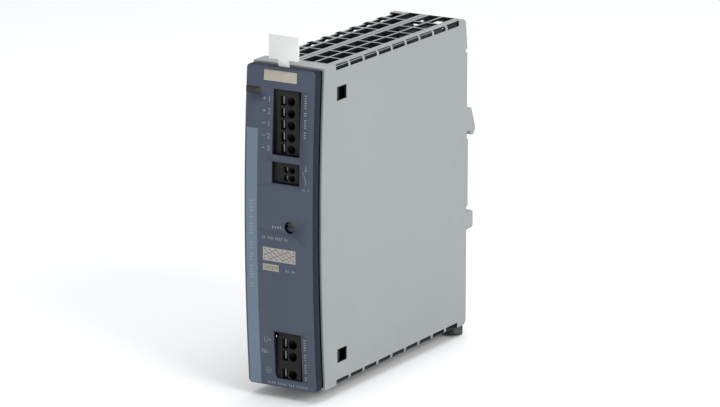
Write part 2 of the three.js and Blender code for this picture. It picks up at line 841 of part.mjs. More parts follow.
function terminalBlock(name, poles) {
  const [low, high] = openings[name];
  const edge = openingRight - blockTrench;
  const { face, half } = poles[0];
  const rear = face + blockDepth;
  const heights = [low + play, high - play];
  const outline = roundedRectangle(openingLeft + play, heights[0], edge, heights[1], openingCorners(name));
  const body = fromFront(outline, face, rear);
  const wing = block([edge - bite, boardFace - hair], [face + wingBehind, rear - bite], heights);
  const ribs = poles.slice(1).map((pole, i) => {
    const middle = (pole.z + poles[i].z) / 2;
    const z = [middle - trenchRib / 2, middle + trenchRib / 2];
    return block([edge - bite, openingRight - play], [face + bite, face + wingBehind + bite], z);
  });
  const entry = [face - past, face + blockFront + past];
  const cuts = poles.flatMap((pole) => [
    block(
      [leafPivot(pole)[0] - leafRoll - leafPlay, contactX(pole) + contactThickness + play],
      [face + blockFront, rear + past],
      [pole.z - half, pole.z + half],
    ),
    bar("y", pole.hole, ...entry, [pole.holeX, pole.z], 20),
    block(
      [pole.slotX - pole.slotWide / 2, pole.slotX + pole.slotWide / 2],
      entry,
      [pole.z - pole.slotTall / 2, pole.z + pole.slotTall / 2],
    ),
  ]);
  return cut(joined([body, wing, ...ribs]), cuts);
}

// Contact bar along the right of a pole, with a tail that reaches the board.
function contactBar(pole) {
  const x = contactX(pole);
  const tail = pole.face + blockDepth + hair + tailThickness;
  const z = [pole.z - pole.half + play, pole.z + pole.half - play];
  return joined([
    block([x, x + contactThickness], [pole.face + blockFront + contactThickness, tail], z),
    block([x, boardFace - hair], [tail - tailThickness, tail], z),
  ]);
}

// Spring leaf, drawn round its rolled end, which is where it turns.
function springLeaf(pole) {
  const [x, y] = leafPivot(pole);
  const reach = contactX(pole) - play - x;
  const run = reach * leafSlope;
  const long = Math.hypot(reach, run);
  const across = [(-run / long) * leafThickness, (reach / long) * leafThickness];
  const tip = [reach - leafThickness, run - leafThickness];
  const leaf = polygon([
    [0, 0],
    tip,
    [tip[0] + across[0], tip[1] + across[1]],
    across,
  ]);
  const z = [pole.z - pole.half + leafPlay, pole.z + pole.half - leafPlay];
  return { solid: fromAbove(leaf, ...z).add(bar("z", leafRoll, ...z, [0, 0], 14)), place: [x, y, 0] };
}

// Trimmer: a fixed body on the board and the slotted adjuster in front of it.
const trimmerFront = -depth + trimmerBehind;
const trimmerMiddle = trimmerFront + trimmerBodyDeep / 2;

function trimmerBodySolid() {
  const half = trimmerBody / 2;
  const y = [trimmerFront, trimmerFront + trimmerBodyDeep];
  const z = [trimmerZ - half, trimmerZ + half];
  const bore = bar("y", trimmerStub + play, y[0] - past, trimmerMiddle + play, [trimmerX, trimmerZ], 20);
  return block([trimmerX - half, boardFace - hair], y, z).subtract(bore);
}

function trimmerAdjuster() {
  const face = frontAt(trimmerZ) + trimmerRecess;
  const shaft = bar("y", trimmerHead, 0, trimmerFront - play - face, [0, 0], 24);
  const stub = bar("y", trimmerStub, bite, trimmerMiddle - face, [0, 0], 20);
  const across = trimmerHead + past;
  const slot = block([-across, across], [-past, trimmerSlot], [-trimmerSlot / 2, trimmerSlot / 2]);
  return { solid: shaft.add(stub).subtract(slot), place: [trimmerX, face, trimmerZ] };
}

// ---------------------------------------------------------------- board and components
const stand = boardFace - hair; // components stand on this face and grow towards -X
const firstY = boardFront + partsFromFront;
const rows = [
  -boardTop + lowerRow,
  -boardTop + lowerRow + rowPitch,
  boardTop - lowerRow - rowPitch,
  boardTop - lowerRow,
];

function standing(tall, y, z) {
  return block([stand - tall, stand], y, z);
}

// Ring standing on the board.
function ring(inner, outer, from, to, segments = 28) {
  const profile = [
    [inner, from],
    [outer, from],
    [outer, to],
    [inner, to],
    [inner, from],
  ].map(([r, h]) => new THREE.Vector2(r, h));
  return solidOf(new THREE.LatheGeometry(profile, segments));
}

// Ferrite ring with two windings, lying on the board.
function chokeCore() {
  return ring(chokeHole, chokeCoreRadius, chokeWire, chokeTall - chokeWire);
}

function chokeWinding() {
  const outer = ring(chokeHole - chokeWire, chokeRadius, 0, chokeTall);
  const inner = ring(
    chokeHole - play,
    chokeCoreRadius + play,
    chokeWire - play,
    chokeTall - chokeWire + play,
  );
  const reach = [-chokeRadius - past, chokeRadius + past];
  const half = block([chokeGap / 2, chokeRadius + past], [-past, chokeTall + past], reach);
  return outer.subtract(inner).intersect(half);
}

// Heat sink: a plate with fins, standing on the board.
function heatSink() {
  const pitch = (sinkWide - finThick) / (finCount - 1);
  const fins = Array.from({ length: finCount }, (_, i) => {
    const z = -sinkWide / 2 + i * pitch;
    return block([-sinkTall, 0], [sinkThick - bite, sinkThick + finLong], [z, z + finThick]);
  });
  return joined([block([-sinkTall, 0], [0, sinkThick], [-sinkWide / 2, sinkWide / 2]), ...fins]);
}

// Power semiconductor: a metal tab, a moulded block and three legs.
function chip() {
  const half = chipWide / 2;
  const tab = block([-chipTall - tabAbove, -legLong - past], [-tabThick, 0], [-half, half]);
  const moulded = block([-chipTall, -legLong], [-chipThick, -tabThick / 2], [-half, half]);
  const legs = [-legPitch, 0, legPitch].map((z) =>
    block([-legLong - bite, 0], [-chipThick / 2 - legWide / 2, -chipThick / 2 + legWide / 2], [
      z - legWide / 2,
      z + legWide / 2,
    ]),
  );
  return joined([tab, moulded, ...legs]);
}

// Transformer: a core with two side legs round a wound middle leg.
const coreMiddle = coreLong / 2;

function transformerCore() {
  const outer = block([-coreTall, 0], [0, coreLong], [-coreWide / 2, coreWide / 2]);
  const windowBetween = (y0, y1) =>
    block([-coreTall + coreYoke, -coreYoke], [y0, y1], [-coreWide, coreWide]);
  return cut(outer, [
    windowBetween(coreLeg, coreMiddle - coreLeg / 2),
    windowBetween(coreMiddle + coreLeg / 2, coreLong - coreLeg),
  ]);
}

function transformerWinding() {
  const half = coreWide / 2;
  const legHalf = coreLeg / 2 + play;
  const outer = block(
    [-coreTall + coreYoke + play, -coreYoke - play],
    [coreLeg + play, coreLong - coreLeg - play],
    [-half - windingOver, half + windingOver],
  );
  const legLength = [coreMiddle - legHalf, coreMiddle + legHalf];
  const leg = block([-coreTall, 0], legLength, [-half - play, half + play]);
  return outer.subtract(leg);
}

// Electrolytic capacitor with a cross-shaped vent scored in its end.
function canCapacitor(radius, tall) {
  const can = bar("x", radius, -tall, 0, [0, 0], 24);
  const depthOfVent = [-tall - past, -tall + ventDeep];
  const long = [-radius * ventShare, radius * ventShare];
  const narrow = [-ventWide / 2, ventWide / 2];
  return cut(can, [block(depthOfVent, long, narrow), block(depthOfVent, narrow, long)]);
}

// ---------------------------------------------------------------- rail latch
function latchNoseOutline() {
  const grip = railFlange + noseGap;
  const low = noseTop - noseDrop;
  const shape = new THREE.Shape();
  shape.moveTo(plateBack - bite, noseTop);
  shape.lineTo(grip, noseTop);
  shape.lineTo(grip, noseTop + noseLip);
  shape.lineTo(grip + noseEdge, noseTop + noseLip);
  shape.lineTo(noseReach, noseTop - noseLip);
  shape.lineTo(noseReach, low + noseEdge);
  shape.lineTo(noseReach - noseEdge, low);
  shape.lineTo(plateBack - bite, low);
  return shape;
}

function footOutline() {
  const head = -top - footGap;
  const low = -top - footDrop;
  const frontEdge = back - footLength;
  const shape = new THREE.Shape();
  shape.moveTo(back, head);
  shape.lineTo(back, low + footRound);
  shape.quadraticCurveTo(back, low, back - footRound, low);
  shape.lineTo(back - footHeel, low);
  shape.lineTo(frontEdge + footToe, low + footToeRise);
  shape.quadraticCurveTo(frontEdge, low + footToeRise, frontEdge, head);
  return shape;
}

function railLatch() {
  const high = -top - footGap - bite;
  const plate = block([-plateHalf, plateHalf], [plateFront, plateBack], [high, noseTop - play]);
  const rib = block([-latchHalf, latchHalf], [plateBack - bite, back], [high, noseTop]);
  const nose = fromSide(latchNoseOutline(), -latchHalf, latchHalf);
  const foot = fromSide(footOutline(), -footWidth / 2, footWidth / 2);
  const edge = springRadius + bite;
  const tab = block(
    [springX - edge, springX + edge],
    [springY - edge, plateFront + bite],
    [springTop + hair, springTop + shelfThick],
  );
  const frontEdge = back - footLength;
  const pull = block(
    [-pullWide / 2, pullWide / 2],
    [frontEdge - past, frontEdge + pullDeep],
    [-top - footDrop + footToeRise + bite, -top - footGap - pullRoof],
  );
  return joined([plate, rib, nose, foot, tab]).subtract(pull);
}

// Compression spring between the shelf and the latch.
class SpringCurve extends THREE.Curve {
  getPoint(t, target = new THREE.Vector3()) {
    const turn = 2 * Math.PI * springTurns * t;
    const reach = springRadius - springWire / 2;
    const rise = (springLength - springWire - 2 * hair) * t + springWire / 2 + hair;
    return target.set(reach * Math.cos(turn), reach * Math.sin(turn), rise);
  }
}

function latchSpring() {
  const section = new THREE.Shape();
  section.absarc(0, 0, springWire / 2, 0, 2 * Math.PI, false);
  const geometry = new THREE.ExtrudeGeometry(section, {
    extrudePath: new SpringCurve(),
    steps: springTurns * 14,
    curveSegments: 4,
    bevelEnabled: false,
  });
  return solidOf(geometry);
}

// ---------------------------------------------------------------- assembly
const part = new THREE.Group();

const housing = new THREE.Group();
housing.add(node("housing_right", halfShell(1), "shell"));
housing.add(node("housing_left", halfShell(-1), "shell"));
part.add(housing);

const front = new THREE.Group();
front.add(node("front_cover", coverSolid(), "cover"));
front.add(node("status_window", statusWindow(), "window"));
front.add(node("light_guide", lightGuide(), "clear"));
front.add(node("name_plate", namePlate(), "plate"));
front.add(node("marking_tag", markingTag(), "tag"));
part.add(front);

const terminals = new THREE.Group();
for (const name of Object.keys(openings)) {
  const poles = polesOf(name);
  terminals.add(node(`${name}_block`, terminalBlock(name, poles), "black"));
  for (const pole of poles) {
    const leaf = springLeaf(pole);
    terminals.add(node(`${pole.name}_contact`, contactBar(pole), "tin"));
    terminals.add(node(`${pole.name}_spring_leaf`, leaf.solid, "steel", leaf.place));
  }
}
part.add(terminals);

const electronics = new THREE.Group();
const board = block([boardFace, boardRight], [boardFront, boardBack], [-boardTop, boardTop]);
electronics.add(node("circuit_board", board, "board"));
electronics.add(node("trimmer_body", trimmerBodySolid(), "trimmer"));
const adjuster = trimmerAdjuster();
electronics.add(node("trimmer_adjuster", adjuster.solid, "trimmer", adjuster.place));

// Lowest row: choke, film capacitor, fuse.
const choke = new THREE.Group();
choke.position.set(stand, firstY + chokeRadius, rows[0]);
choke.rotation.z = Math.PI / 2;
choke.add(node("choke_core", chokeCore(), "ferrite"));
choke.add(node("choke_winding", chokeWinding(), "copper"));
const chokeBack = chokeWinding().rotate([0, 180, 0]);
choke.add(node("choke_winding_return", chokeBack, "copper"));
electronics.add(choke);
const filmY = firstY + 2 * chokeRadius + partGap;
const film = standing(filmTall, [filmY, filmY + filmThick], [rows[0] - filmLong / 2, rows[0] + filmLong / 2]);
electronics.add(node("film_capacitor", film, "film"));
const fuseY = filmY + filmThick + partGap + fuseRadius;
const fuseZ = [rows[0] - fuseLong / 2, rows[0] + fuseLong / 2];
electronics.add(node("fuse", bar("z", fuseRadius, ...fuseZ, [stand - fuseRadius - 0.5, fuseY]), "ceramic"));

// Second row: bulk capacitor, primary heat sink with its transistor.
const bulk = bar("y", bulkRadius, firstY, firstY + bulkLong, [stand - bulkRadius, rows[1]], 32);
electronics.add(node("bulk_capacitor", bulk, "sleeve"));
const sinkY = firstY + bulkLong + partGap + chipThick;
electronics.add(node("primary_heat_sink", heatSink(), "aluminium", [stand, sinkY, rows[1]]));
electronics.add(node("switching_transistor", chip(), "sleeve", [stand, sinkY - hair, rows[1]]));

// Third row: transformer, secondary heat sink with its rectifier.
electronics.add(node("transformer_core", transformerCore(), "ferrite", [stand, firstY, rows[2]]));
electronics.add(node("transformer_winding", transformerWinding(), "tape", [stand, firstY, rows[2]]));
const rectifierY = firstY + coreLong + partGap + chipThick;
electronics.add(node("secondary_heat_sink", heatSink(), "aluminium", [stand, rectifierY, rows[2]]));
electronics.add(node("output_rectifier", chip(), "sleeve", [stand, rectifierY - hair, rows[2]]));

// Top row: output capacitors, signal relay.
for (let i = 0; i < 3; i += 1) {
  const y = firstY + smallCapRadius + i * smallCapPitch;
  const can = canCapacitor(smallCapRadius, smallCapTall);
  electronics.add(node(`output_capacitor_${i + 1}`, can, "sleeve", [stand, y, rows[3]]));
}
const relayY = firstY + 3 * smallCapPitch + partGap;
const relayZ = [rows[3] - relayWide / 2, rows[3] + relayWide / 2];
const relay = standing(relayTall, [relayY, relayY + relayLong], relayZ);
electronics.add(node("signal_relay", relay, "relay"));
part.add(electronics);

const latch = new THREE.Group();
latch.add(node("rail_latch", railLatch(), "foot"));
latch.add(node("latch_spring", latchSpring(), "steel", [springX, springY, springBottom]));
part.add(latch);

export default part;
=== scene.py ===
"""Finish, print, light and camera for a slim power supply that snaps onto a 35 mm rail."""

import json
import math

import bmesh
import bpy
from bpy.props import FloatProperty, FloatVectorProperty, IntProperty, PointerProperty
from mathutils import Matrix, Vector


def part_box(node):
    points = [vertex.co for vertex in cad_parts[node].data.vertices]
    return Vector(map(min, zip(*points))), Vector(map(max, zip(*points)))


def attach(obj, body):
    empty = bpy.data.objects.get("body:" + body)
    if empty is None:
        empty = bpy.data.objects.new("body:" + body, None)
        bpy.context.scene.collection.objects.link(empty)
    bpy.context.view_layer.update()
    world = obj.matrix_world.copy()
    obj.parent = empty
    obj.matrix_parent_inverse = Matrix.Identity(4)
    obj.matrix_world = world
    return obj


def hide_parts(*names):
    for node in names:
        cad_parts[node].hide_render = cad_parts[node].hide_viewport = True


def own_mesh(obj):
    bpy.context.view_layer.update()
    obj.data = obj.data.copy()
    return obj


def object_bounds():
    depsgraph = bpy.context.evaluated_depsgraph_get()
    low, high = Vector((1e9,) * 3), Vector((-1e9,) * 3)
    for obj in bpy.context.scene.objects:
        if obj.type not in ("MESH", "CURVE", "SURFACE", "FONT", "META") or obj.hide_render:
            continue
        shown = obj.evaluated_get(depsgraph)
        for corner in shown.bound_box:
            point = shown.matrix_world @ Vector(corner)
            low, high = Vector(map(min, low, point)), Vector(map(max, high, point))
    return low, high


bl_info = {
    "name": "Rail Power Supply",
    "version": (1, 0, 0),
    "blender": (4, 5, 0),
    "location": "View3D > Sidebar > Power Supply",
    "description": "Housing, printed front, terminals, rail latch and electronics of a rail power supply",
    "category": "Object",
}

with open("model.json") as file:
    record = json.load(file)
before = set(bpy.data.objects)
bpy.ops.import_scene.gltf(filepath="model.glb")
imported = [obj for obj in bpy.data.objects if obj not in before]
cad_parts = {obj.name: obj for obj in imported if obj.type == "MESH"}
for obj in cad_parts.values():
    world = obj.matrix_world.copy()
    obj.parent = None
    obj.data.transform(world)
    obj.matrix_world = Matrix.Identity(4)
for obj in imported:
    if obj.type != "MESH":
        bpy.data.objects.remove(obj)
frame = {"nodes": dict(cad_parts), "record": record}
cad_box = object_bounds()

record = frame["record"]
slot_of = {entry["node"]: entry["material_slot"] for entry in record["subparts"]}
body_of = {node: body for body, nodes in record["behaviour"]["bodies"].items() for node in nodes}

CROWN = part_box("front_cover")[0].y  # foremost line of the bowed front
BOW = 0.0028  # how far the front swells between its ends
HALF_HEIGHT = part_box("housing_right")[1].z
HALF_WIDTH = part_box("housing_right")[1].x
SKIN = 0.0004  # depth below the housing's faces at which its painted shade begins
BAR_SINK = 0.001  # depth of the bars' upper faces in the corner slots
INNER_BACK = -0.0021  # depth at which the back wall's inside begins; the painted shade stays in front of it
RIM_BEHIND = 0.0064  # front face to just behind the housing's front rim
COVER_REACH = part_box("front_cover")[1] * 0.96  # beyond it lie the cover's outer edges
ROUNDED_FROM = 35  # degrees by which an edge must turn to be rounded
SAME_PLACE = 0.00001  # distance under which two places count as one
FACE_SINK = 0.00003  # room under the print, inside the front's own depth
FILM_DEPTH = 0.0003  # faces this near the bowed front carry its film
HIGHLIGHT_REACH = 0.0004  # how far from an edge the painted highlight reaches
PATCH = 0.04  # size of the patches in which a moulding's colour changes
WINDOW_EDGE = 0.00012  # rounding of the small pieces' edges
PLATE_EDGE = 0.00008
TAG_EDGE = 0.0002
TRIMMER_EDGE = 0.00015
FLOOR_RADIUS = 6.0
LIT_PLACE = (0.0, -0.06, 0.0)  # what the lights face
VIEWED_PLACE = (-0.000087, -0.060921, -0.002865)  # what the camera faces
LEAF_ROLL = 0.0011  # depth of the spring leaves' rolled ends; behind it the leaves carry painted shade
PRINT_LIFT = 0.000006  # one layer of print over the next


def front_at(z):
    """Depth of the bowed front at a height."""
    return CROWN + BOW * (z / HALF_HEIGHT) ** 2


# ---------------------------------------------------------------- settings


def colour_setting(name, description, default):
    """A colour that the panel shows with a swatch."""
    return FloatVectorProperty(
        name=name, description=description, subtype="COLOR", size=3, min=0, max=1, default=default
    )


def length_setting(name, description, default):
    """A length in metres."""
    return FloatProperty(
        name=name, description=description, default=default, min=0, unit="LENGTH", precision=5
    )


class HousingSettings(bpy.types.PropertyGroup):
    """Vented half shells."""

    shell: colour_setting("Shell", "Light grey of the half shells", (0.293, 0.31, 0.312))
    # painted shade: a near-black copy of the light grey shell plastic, laid on the shells' deep inner faces
    inside: colour_setting("Inside", "Shaded inner faces of the shells", (0.016, 0.017, 0.018))
    rounding: length_setting("Edge rounding", "Radius of the shells' edges", 0.00022)
    grain: length_setting("Grain", "Size of the moulded grain", 0.00042)


class CoverSettings(bpy.types.PropertyGroup):
    """Bowed front cover and what sits in it."""

    face: colour_setting("Face", "Blue-grey film on the front", (0.047, 0.062, 0.094))
    body: colour_setting("Body", "Moulded plastic of the cover's sides", (0.012, 0.015, 0.025))
    accent: colour_setting("Accent", "Lighter strip along the left edge", (0.112, 0.165, 0.222))
    smoked: colour_setting("Window", "Smoked status window", (0.012, 0.008, 0.006))
    plate: colour_setting("Name plate", "Blank metal foil plate", (0.47, 0.45, 0.375))
    tag: colour_setting("Marking tag", "White tag on the top", (0.74, 0.74, 0.725))
    rounding: length_setting("Edge rounding", "Radius of the cover's edges", 0.0003)


class PrintSettings(bpy.types.PropertyGroup):
    """Marks printed on the front."""

    ink: colour_setting("Ink", "Light ink of the marks", (0.21, 0.235, 0.27))
    code: colour_setting("Code field", "Pale field under the cover's middle", (0.33, 0.31, 0.285))
    second: colour_setting("Second field", "Small warm field", (0.3, 0.29, 0.225))
    dark: colour_setting("Dark ink", "Ink of the marks on the pale fields", (0.13, 0.125, 0.12))
    digit: length_setting("Digit height", "Height of the terminal numbers", 0.0023)


class TerminalSettings(bpy.types.PropertyGroup):
    """Terminal blocks, their clamps and the trimmer."""

    block: colour_setting("Block", "Black moulding of the terminal blocks", (0.009, 0.0088, 0.009))
    steel: colour_setting("Steel", "Spring leaves and the latch spring", (0.26, 0.26, 0.255))
    tin: colour_setting("Tin", "Tinned contact bars", (0.12, 0.118, 0.11))
    trimmer: colour_setting("Trimmer", "Moulding of the trimmer", (0.075, 0.076, 0.08))
    rounding: length_setting("Edge rounding", "Radius of the blocks' edges", 0.00005)


class LatchSettings(bpy.types.PropertyGroup):
    """Rail latch and its spring."""

    foot: colour_setting("Latch", "Dark green-black moulding of the latch", (0.014, 0.019, 0.017))
    rounding: length_setting("Edge rounding", "Radius of the latch's edges", 0.00025)
    turns: IntProperty(name="Turns", description="Turns of the latch spring", default=5, min=2, max=20)
    wire: length_setting("Wire", "Diameter of the spring's wire", 0.0008)


class ElectronicsSettings(bpy.types.PropertyGroup):
    """Circuit board and its components."""

    mask: colour_setting("Solder mask", "Green lacquer of the board", (0.005, 0.034, 0.016))
    sleeve: colour_setting("Sleeve", "Shrunk sleeve of the capacitors", (0.014, 0.018, 0.03))
    copper: colour_setting("Copper", "Lacquered winding wire", (0.48, 0.17, 0.055))
    aluminium: colour_setting("Aluminium", "Heat sinks and capacitor ends", (0.55, 0.56, 0.57))


class StageSettings(bpy.types.PropertyGroup):
    """Floor, lights and camera."""

    floor: colour_setting("Floor", "Plain pale floor", (0.955, 0.95, 0.945))
    surround: FloatProperty(name="Surround", description="Strength of the even light", default=0.62, min=0)
    key: FloatProperty(name="Key", description="Power of the main light", default=16, min=0, unit="POWER")
    overhead: FloatProperty(
        name="Overhead", description="Power of the top light", default=14, min=0, unit="POWER"
    )
    fill: FloatProperty(name="Fill", description="Power of the front light", default=3, min=0, unit="POWER")
    turn: FloatProperty(
        name="Turn", description="Camera's turn to the right", default=math.radians(31.224), subtype="ANGLE"
    )
    rise: FloatProperty(
        name="Rise",
        description="Camera's angle above the floor",
        default=math.radians(14.536),
        subtype="ANGLE",
    )
    distance: length_setting("Distance", "Camera to the point it looks at", 1.785485)
    lens: FloatProperty(name="Lens", description="Focal length in millimetres", default=213.575, min=10)


# ---------------------------------------------------------------- shader nodes


class Tree:
    """Adds nodes to one tree from left to right and wires them."""

    def __init__(self, tree):
        self.tree = tree
        self.across = 0

    def add(self, kind, inputs=None, **settings):
        made = self.tree.nodes.new(kind)
        made.location = (self.across, 0)
        self.across += 190
        for key, value in settings.items():
            setattr(made, key, value)
        for key, value in (inputs or {}).items():
            if isinstance(value, bpy.types.NodeSocket):
                self.tree.links.new(value, made.inputs[key])
            else:
                made.inputs[key].default_value = value
        return made

    def math(self, operation, *values, clamp=False):
        return self.add(
            "ShaderNodeMath", dict(enumerate(values)), operation=operation, use_clamp=clamp
        ).outputs[0]

    def spread(self, value, from_low, from_high, low, high):
        sockets = {"Value": value, "From Min": from_low, "From Max": from_high, "To Min": low, "To Max": high}
        return self.add("ShaderNodeMapRange", sockets).outputs["Result"]

    def blend(self, factor, first, second):
        made = self.add("ShaderNodeMix", data_type="RGBA")
        for name, value in (("Factor_Float", factor), ("A_Color", first), ("B_Color", second)):
            socket = next(s for s in made.inputs if s.identifier == name)
            if isinstance(value, bpy.types.NodeSocket):
                self.tree.links.new(value, socket)
            else:
                socket.default_value = value
        return next(s for s in made.outputs if s.identifier == "Result_Color")

    def place(self, centre=(0, 0, 0), scale=(1, 1, 1)):
        """Object coordinates about a centre, stretched along the axes."""
        here = self.add("ShaderNodeTexCoord").outputs["Object"]
        offset = [-c * s for c, s in zip(centre, scale)]
        return self.add("ShaderNodeMapping", {"Vector": here, "Location": offset, "Scale": scale}).outputs[0]

    def noise(self, vector, scale, detail=3.0, rough=0.55):
        sockets = {"Vector": vector, "Scale": scale, "Detail": detail, "Roughness": rough}
        return self.add("ShaderNodeTexNoise", sockets).outputs["Fac"]


def effect(name, numbers, outputs, build):
    """A shared node group with named numbers in and named values out, made once."""
    group = bpy.data.node_groups.get(name)
    if group:
        return group
    group = bpy.data.node_groups.new(name, "ShaderNodeTree")
    for label, default in numbers:
        socket = group.interface.new_socket(name=label, in_out="INPUT", socket_type="NodeSocketFloat")
        socket.default_value = default
    for label in outputs:
        group.interface.new_socket(name=label, in_out="OUTPUT", socket_type="NodeSocketFloat")
    tree = Tree(group)
    given = tree.add("NodeGroupInput").outputs
    made = build(tree, given)
    tree.add("NodeGroupOutput", dict(zip(outputs, made)))
    return group


def moulded_grain():
    """Fine spark-eroded grain of a moulding tool."""

    def build(tree, given):
        here = tree.place()
        scale = tree.math("DIVIDE", 1.0, given["Size"])
        cloud = tree.noise(here, scale, 4.0, 0.62)
        pebbles = tree.add("ShaderNodeTexVoronoi", {"Vector": here, "Scale": scale}, feature="SMOOTH_F1")
        height = tree.math("MULTIPLY_ADD", pebbles.outputs["Distance"], 0.45, cloud)
        fleck = tree.spread(cloud, 0.35, 0.65, 0.0, 1.0)
        return height, fleck

    return effect("moulded grain", [("Size", 0.0004)], ["Height", "Fleck"], build)


def handled_surface():
    """Slow change over a surface, as from cooling in the tool and from handling."""

    def build(tree, given):
        here = tree.place(scale=(1, 0.6, 0.8))
        scale = tree.math("DIVIDE", 1.0, given["Size"])
        slow = tree.noise(here, scale, 2.0, 0.5)
        rubbed = tree.noise(here, tree.math("MULTIPLY", scale, 7.0), 5.0, 0.68)
        both = tree.math("MULTIPLY_ADD", rubbed, 0.35, tree.math("MULTIPLY", slow, 0.65))
        return (tree.spread(both, 0.33, 0.67, 0.0, 1.0),)

    return effect("handled surface", [("Size", PATCH)], ["Change"], build)


def painted_edge_highlight():
    """Mask for a painted highlight along edges, where the surface turns quickly."""

    def build(tree, given):
        turned = tree.add("ShaderNodeBevel", {"Radius": given["Reach"]}, samples=4).outputs[0]
        true = tree.add("ShaderNodeNewGeometry").outputs["Normal"]
        compared = tree.add("ShaderNodeVectorMath", {0: turned, 1: true}, operation="DOT_PRODUCT")
        agree = compared.outputs["Value"]
        bent = tree.math("SUBTRACT", 1.0, agree)
        patchy = tree.noise(tree.place(), 420.0, 3.0)
        return (tree.math("MULTIPLY", tree.spread(bent, 0.02, 0.3, 0.0, 1.0), patchy, clamp=True),)

    return effect("painted edge highlight", [("Reach", HIGHLIGHT_REACH)], ["Mask"], build)


def settled_dust():
    """Thin dust on faces that look up."""

    def build(tree, given):
        normal = tree.add("ShaderNodeNewGeometry").outputs["Normal"]
        up = tree.add("ShaderNodeSeparateXYZ", {0: normal}).outputs["Z"]
        drifts = tree.noise(tree.place(), 160.0, 6.0, 0.7)
        lying = tree.spread(up, 0.55, 1.0, 0.0, 1.0)
        amount = tree.math("MULTIPLY", lying, tree.spread(drifts, 0.4, 0.8, 0.0, 1.0))
        return (tree.math("MULTIPLY", amount, given["Amount"], clamp=True),)

    return effect("settled dust", [("Amount", 0.1)], ["Mask"], build)


def drawn_lines():
    """Lines left by drawing, rolling or brushing metal along one axis."""

    def build(tree, given):
        here = tree.add("ShaderNodeTexCoord").outputs["Object"]
        along = {index: given["Along " + axis] for index, axis in enumerate("XYZ")}
        stretch = tree.add("ShaderNodeCombineXYZ", along).outputs[0]
        drawn = tree.add("ShaderNodeVectorMath", {0: here, 1: stretch}, operation="MULTIPLY")
        lines = tree.noise(drawn.outputs[0], 1.0, 5.0, 0.6)
        return lines, tree.spread(lines, 0.3, 0.7, 0.0, 1.0)

    numbers = [("Along X", 4000.0), ("Along Y", 4000.0), ("Along Z", 200.0)]
    return effect("drawn lines", numbers, ["Height", "Streak"], build)


def shaded(colour, by):
    """A colour made lighter or darker."""
    return [min(1.0, c * by) for c in colour[:3]] + [1.0]


def start_material(name):
    """An empty material, its tree and its Principled shader."""
    material = bpy.data.materials.new(name)
    material.use_nodes = True
    tree = Tree(material.node_tree)
    shader = next(n for n in material.node_tree.nodes if n.type == "BSDF_PRINCIPLED")
    shader.location = (3200, 0)
    return material, tree, shader


def join(tree, socket, target):
    tree.tree.links.new(socket, target)


def shared(tree, group, **numbers):
    """Places a shared effect in a material with its own numbers."""
    made = tree.add("ShaderNodeGroup", node_tree=group)
    for name, value in numbers.items():
        made.inputs[name.replace("_", " ")].default_value = value
    return made.outputs


def relief(tree, shader, height, depth):
    """Bumps the surface by a height over a real depth in metres."""
    bump = tree.add("ShaderNodeBump", {"Height": height, "Distance": depth, "Strength": 1.0})
    join(tree, bump.outputs[0], shader.inputs["Normal"])


def moulding(
    name, colour, rough, grain=0.0004, depth=0.00003, dust=0.0, edge_highlight=0.4, pale=1.5, gloss=0.5
):
    """Moulded plastic: grained, a little uneven, with a painted highlight along its edges and dusty on top.
    """
    material, tree, shader = start_material(name)
    texture = shared(tree, moulded_grain(), Size=grain)
    change = shared(tree, handled_surface(), Size=PATCH)["Change"]
    edges = shared(tree, painted_edge_highlight(), Reach=HIGHLIGHT_REACH)["Mask"]
    lying = shared(tree, settled_dust(), Amount=dust)["Mask"]
    body = tree.blend(change, shaded(colour, 0.955), shaded(colour, 1.03))
    body = tree.blend(tree.math("MULTIPLY", texture["Fleck"], 0.12), body, shaded(colour, 0.8))
    # painted highlight: the colour is made paler along the edges, standing in for light caught by rounded
    # edges
    body = tree.blend(tree.math("MULTIPLY", edges, edge_highlight), body, shaded(colour, pale))
    body = tree.blend(lying, body, (0.5, 0.49, 0.46, 1.0))
    join(tree, body, shader.inputs["Base Color"])
    sheen = tree.spread(change, 0.0, 1.0, rough - 0.05, rough + 0.06)
    sheen = tree.math("MULTIPLY_ADD", texture["Fleck"], 0.04, sheen)
    join(tree, tree.math("MULTIPLY_ADD", lying, 0.3, sheen, clamp=True), shader.inputs["Roughness"])
    relief(tree, shader, texture["Height"], depth)
    shader.inputs["Specular IOR Level"].default_value = gloss
    return material


def metal(name, colour, rough, lines=(4000.0, 4000.0, 200.0), depth=0.000004, painted_shade_from=None):
    """Drawn or brushed metal with streaks along one axis and dull patches, with painted shade from a depth
    on.
    """
    material, tree, shader = start_material(name)
    drawn = shared(tree, drawn_lines(), Along_X=lines[0], Along_Y=lines[1], Along_Z=lines[2])
    change = shared(tree, handled_surface(), Size=0.012)["Change"]
    body = tree.blend(drawn["Streak"], shaded(colour, 0.86), shaded(colour, 1.06))
    body = tree.blend(tree.math("MULTIPLY", change, 0.25), body, shaded(colour, 0.7))
    # painted shade: the metal turns near-black behind a depth, standing in for the shade deep in the
    # terminals' chambers
    if painted_shade_from is not None:
        at = tree.add("ShaderNodeSeparateXYZ", {0: tree.place()}).outputs["Y"]
        painted_deep_shade = tree.spread(at, painted_shade_from, painted_shade_from + 0.0004, 0.0, 1.0)
        body = tree.blend(painted_deep_shade, body, shaded(colour, 0.1))
    join(tree, body, shader.inputs["Base Color"])
    dull = tree.spread(change, 0.0, 1.0, rough - 0.06, rough + 0.1)
    join(tree, tree.math("MULTIPLY_ADD", drawn["Streak"], 0.08, dull), shader.inputs["Roughness"])
    relief(tree, shader, drawn["Height"], depth)
    shader.inputs["Metallic"].default_value = 1.0
    return material


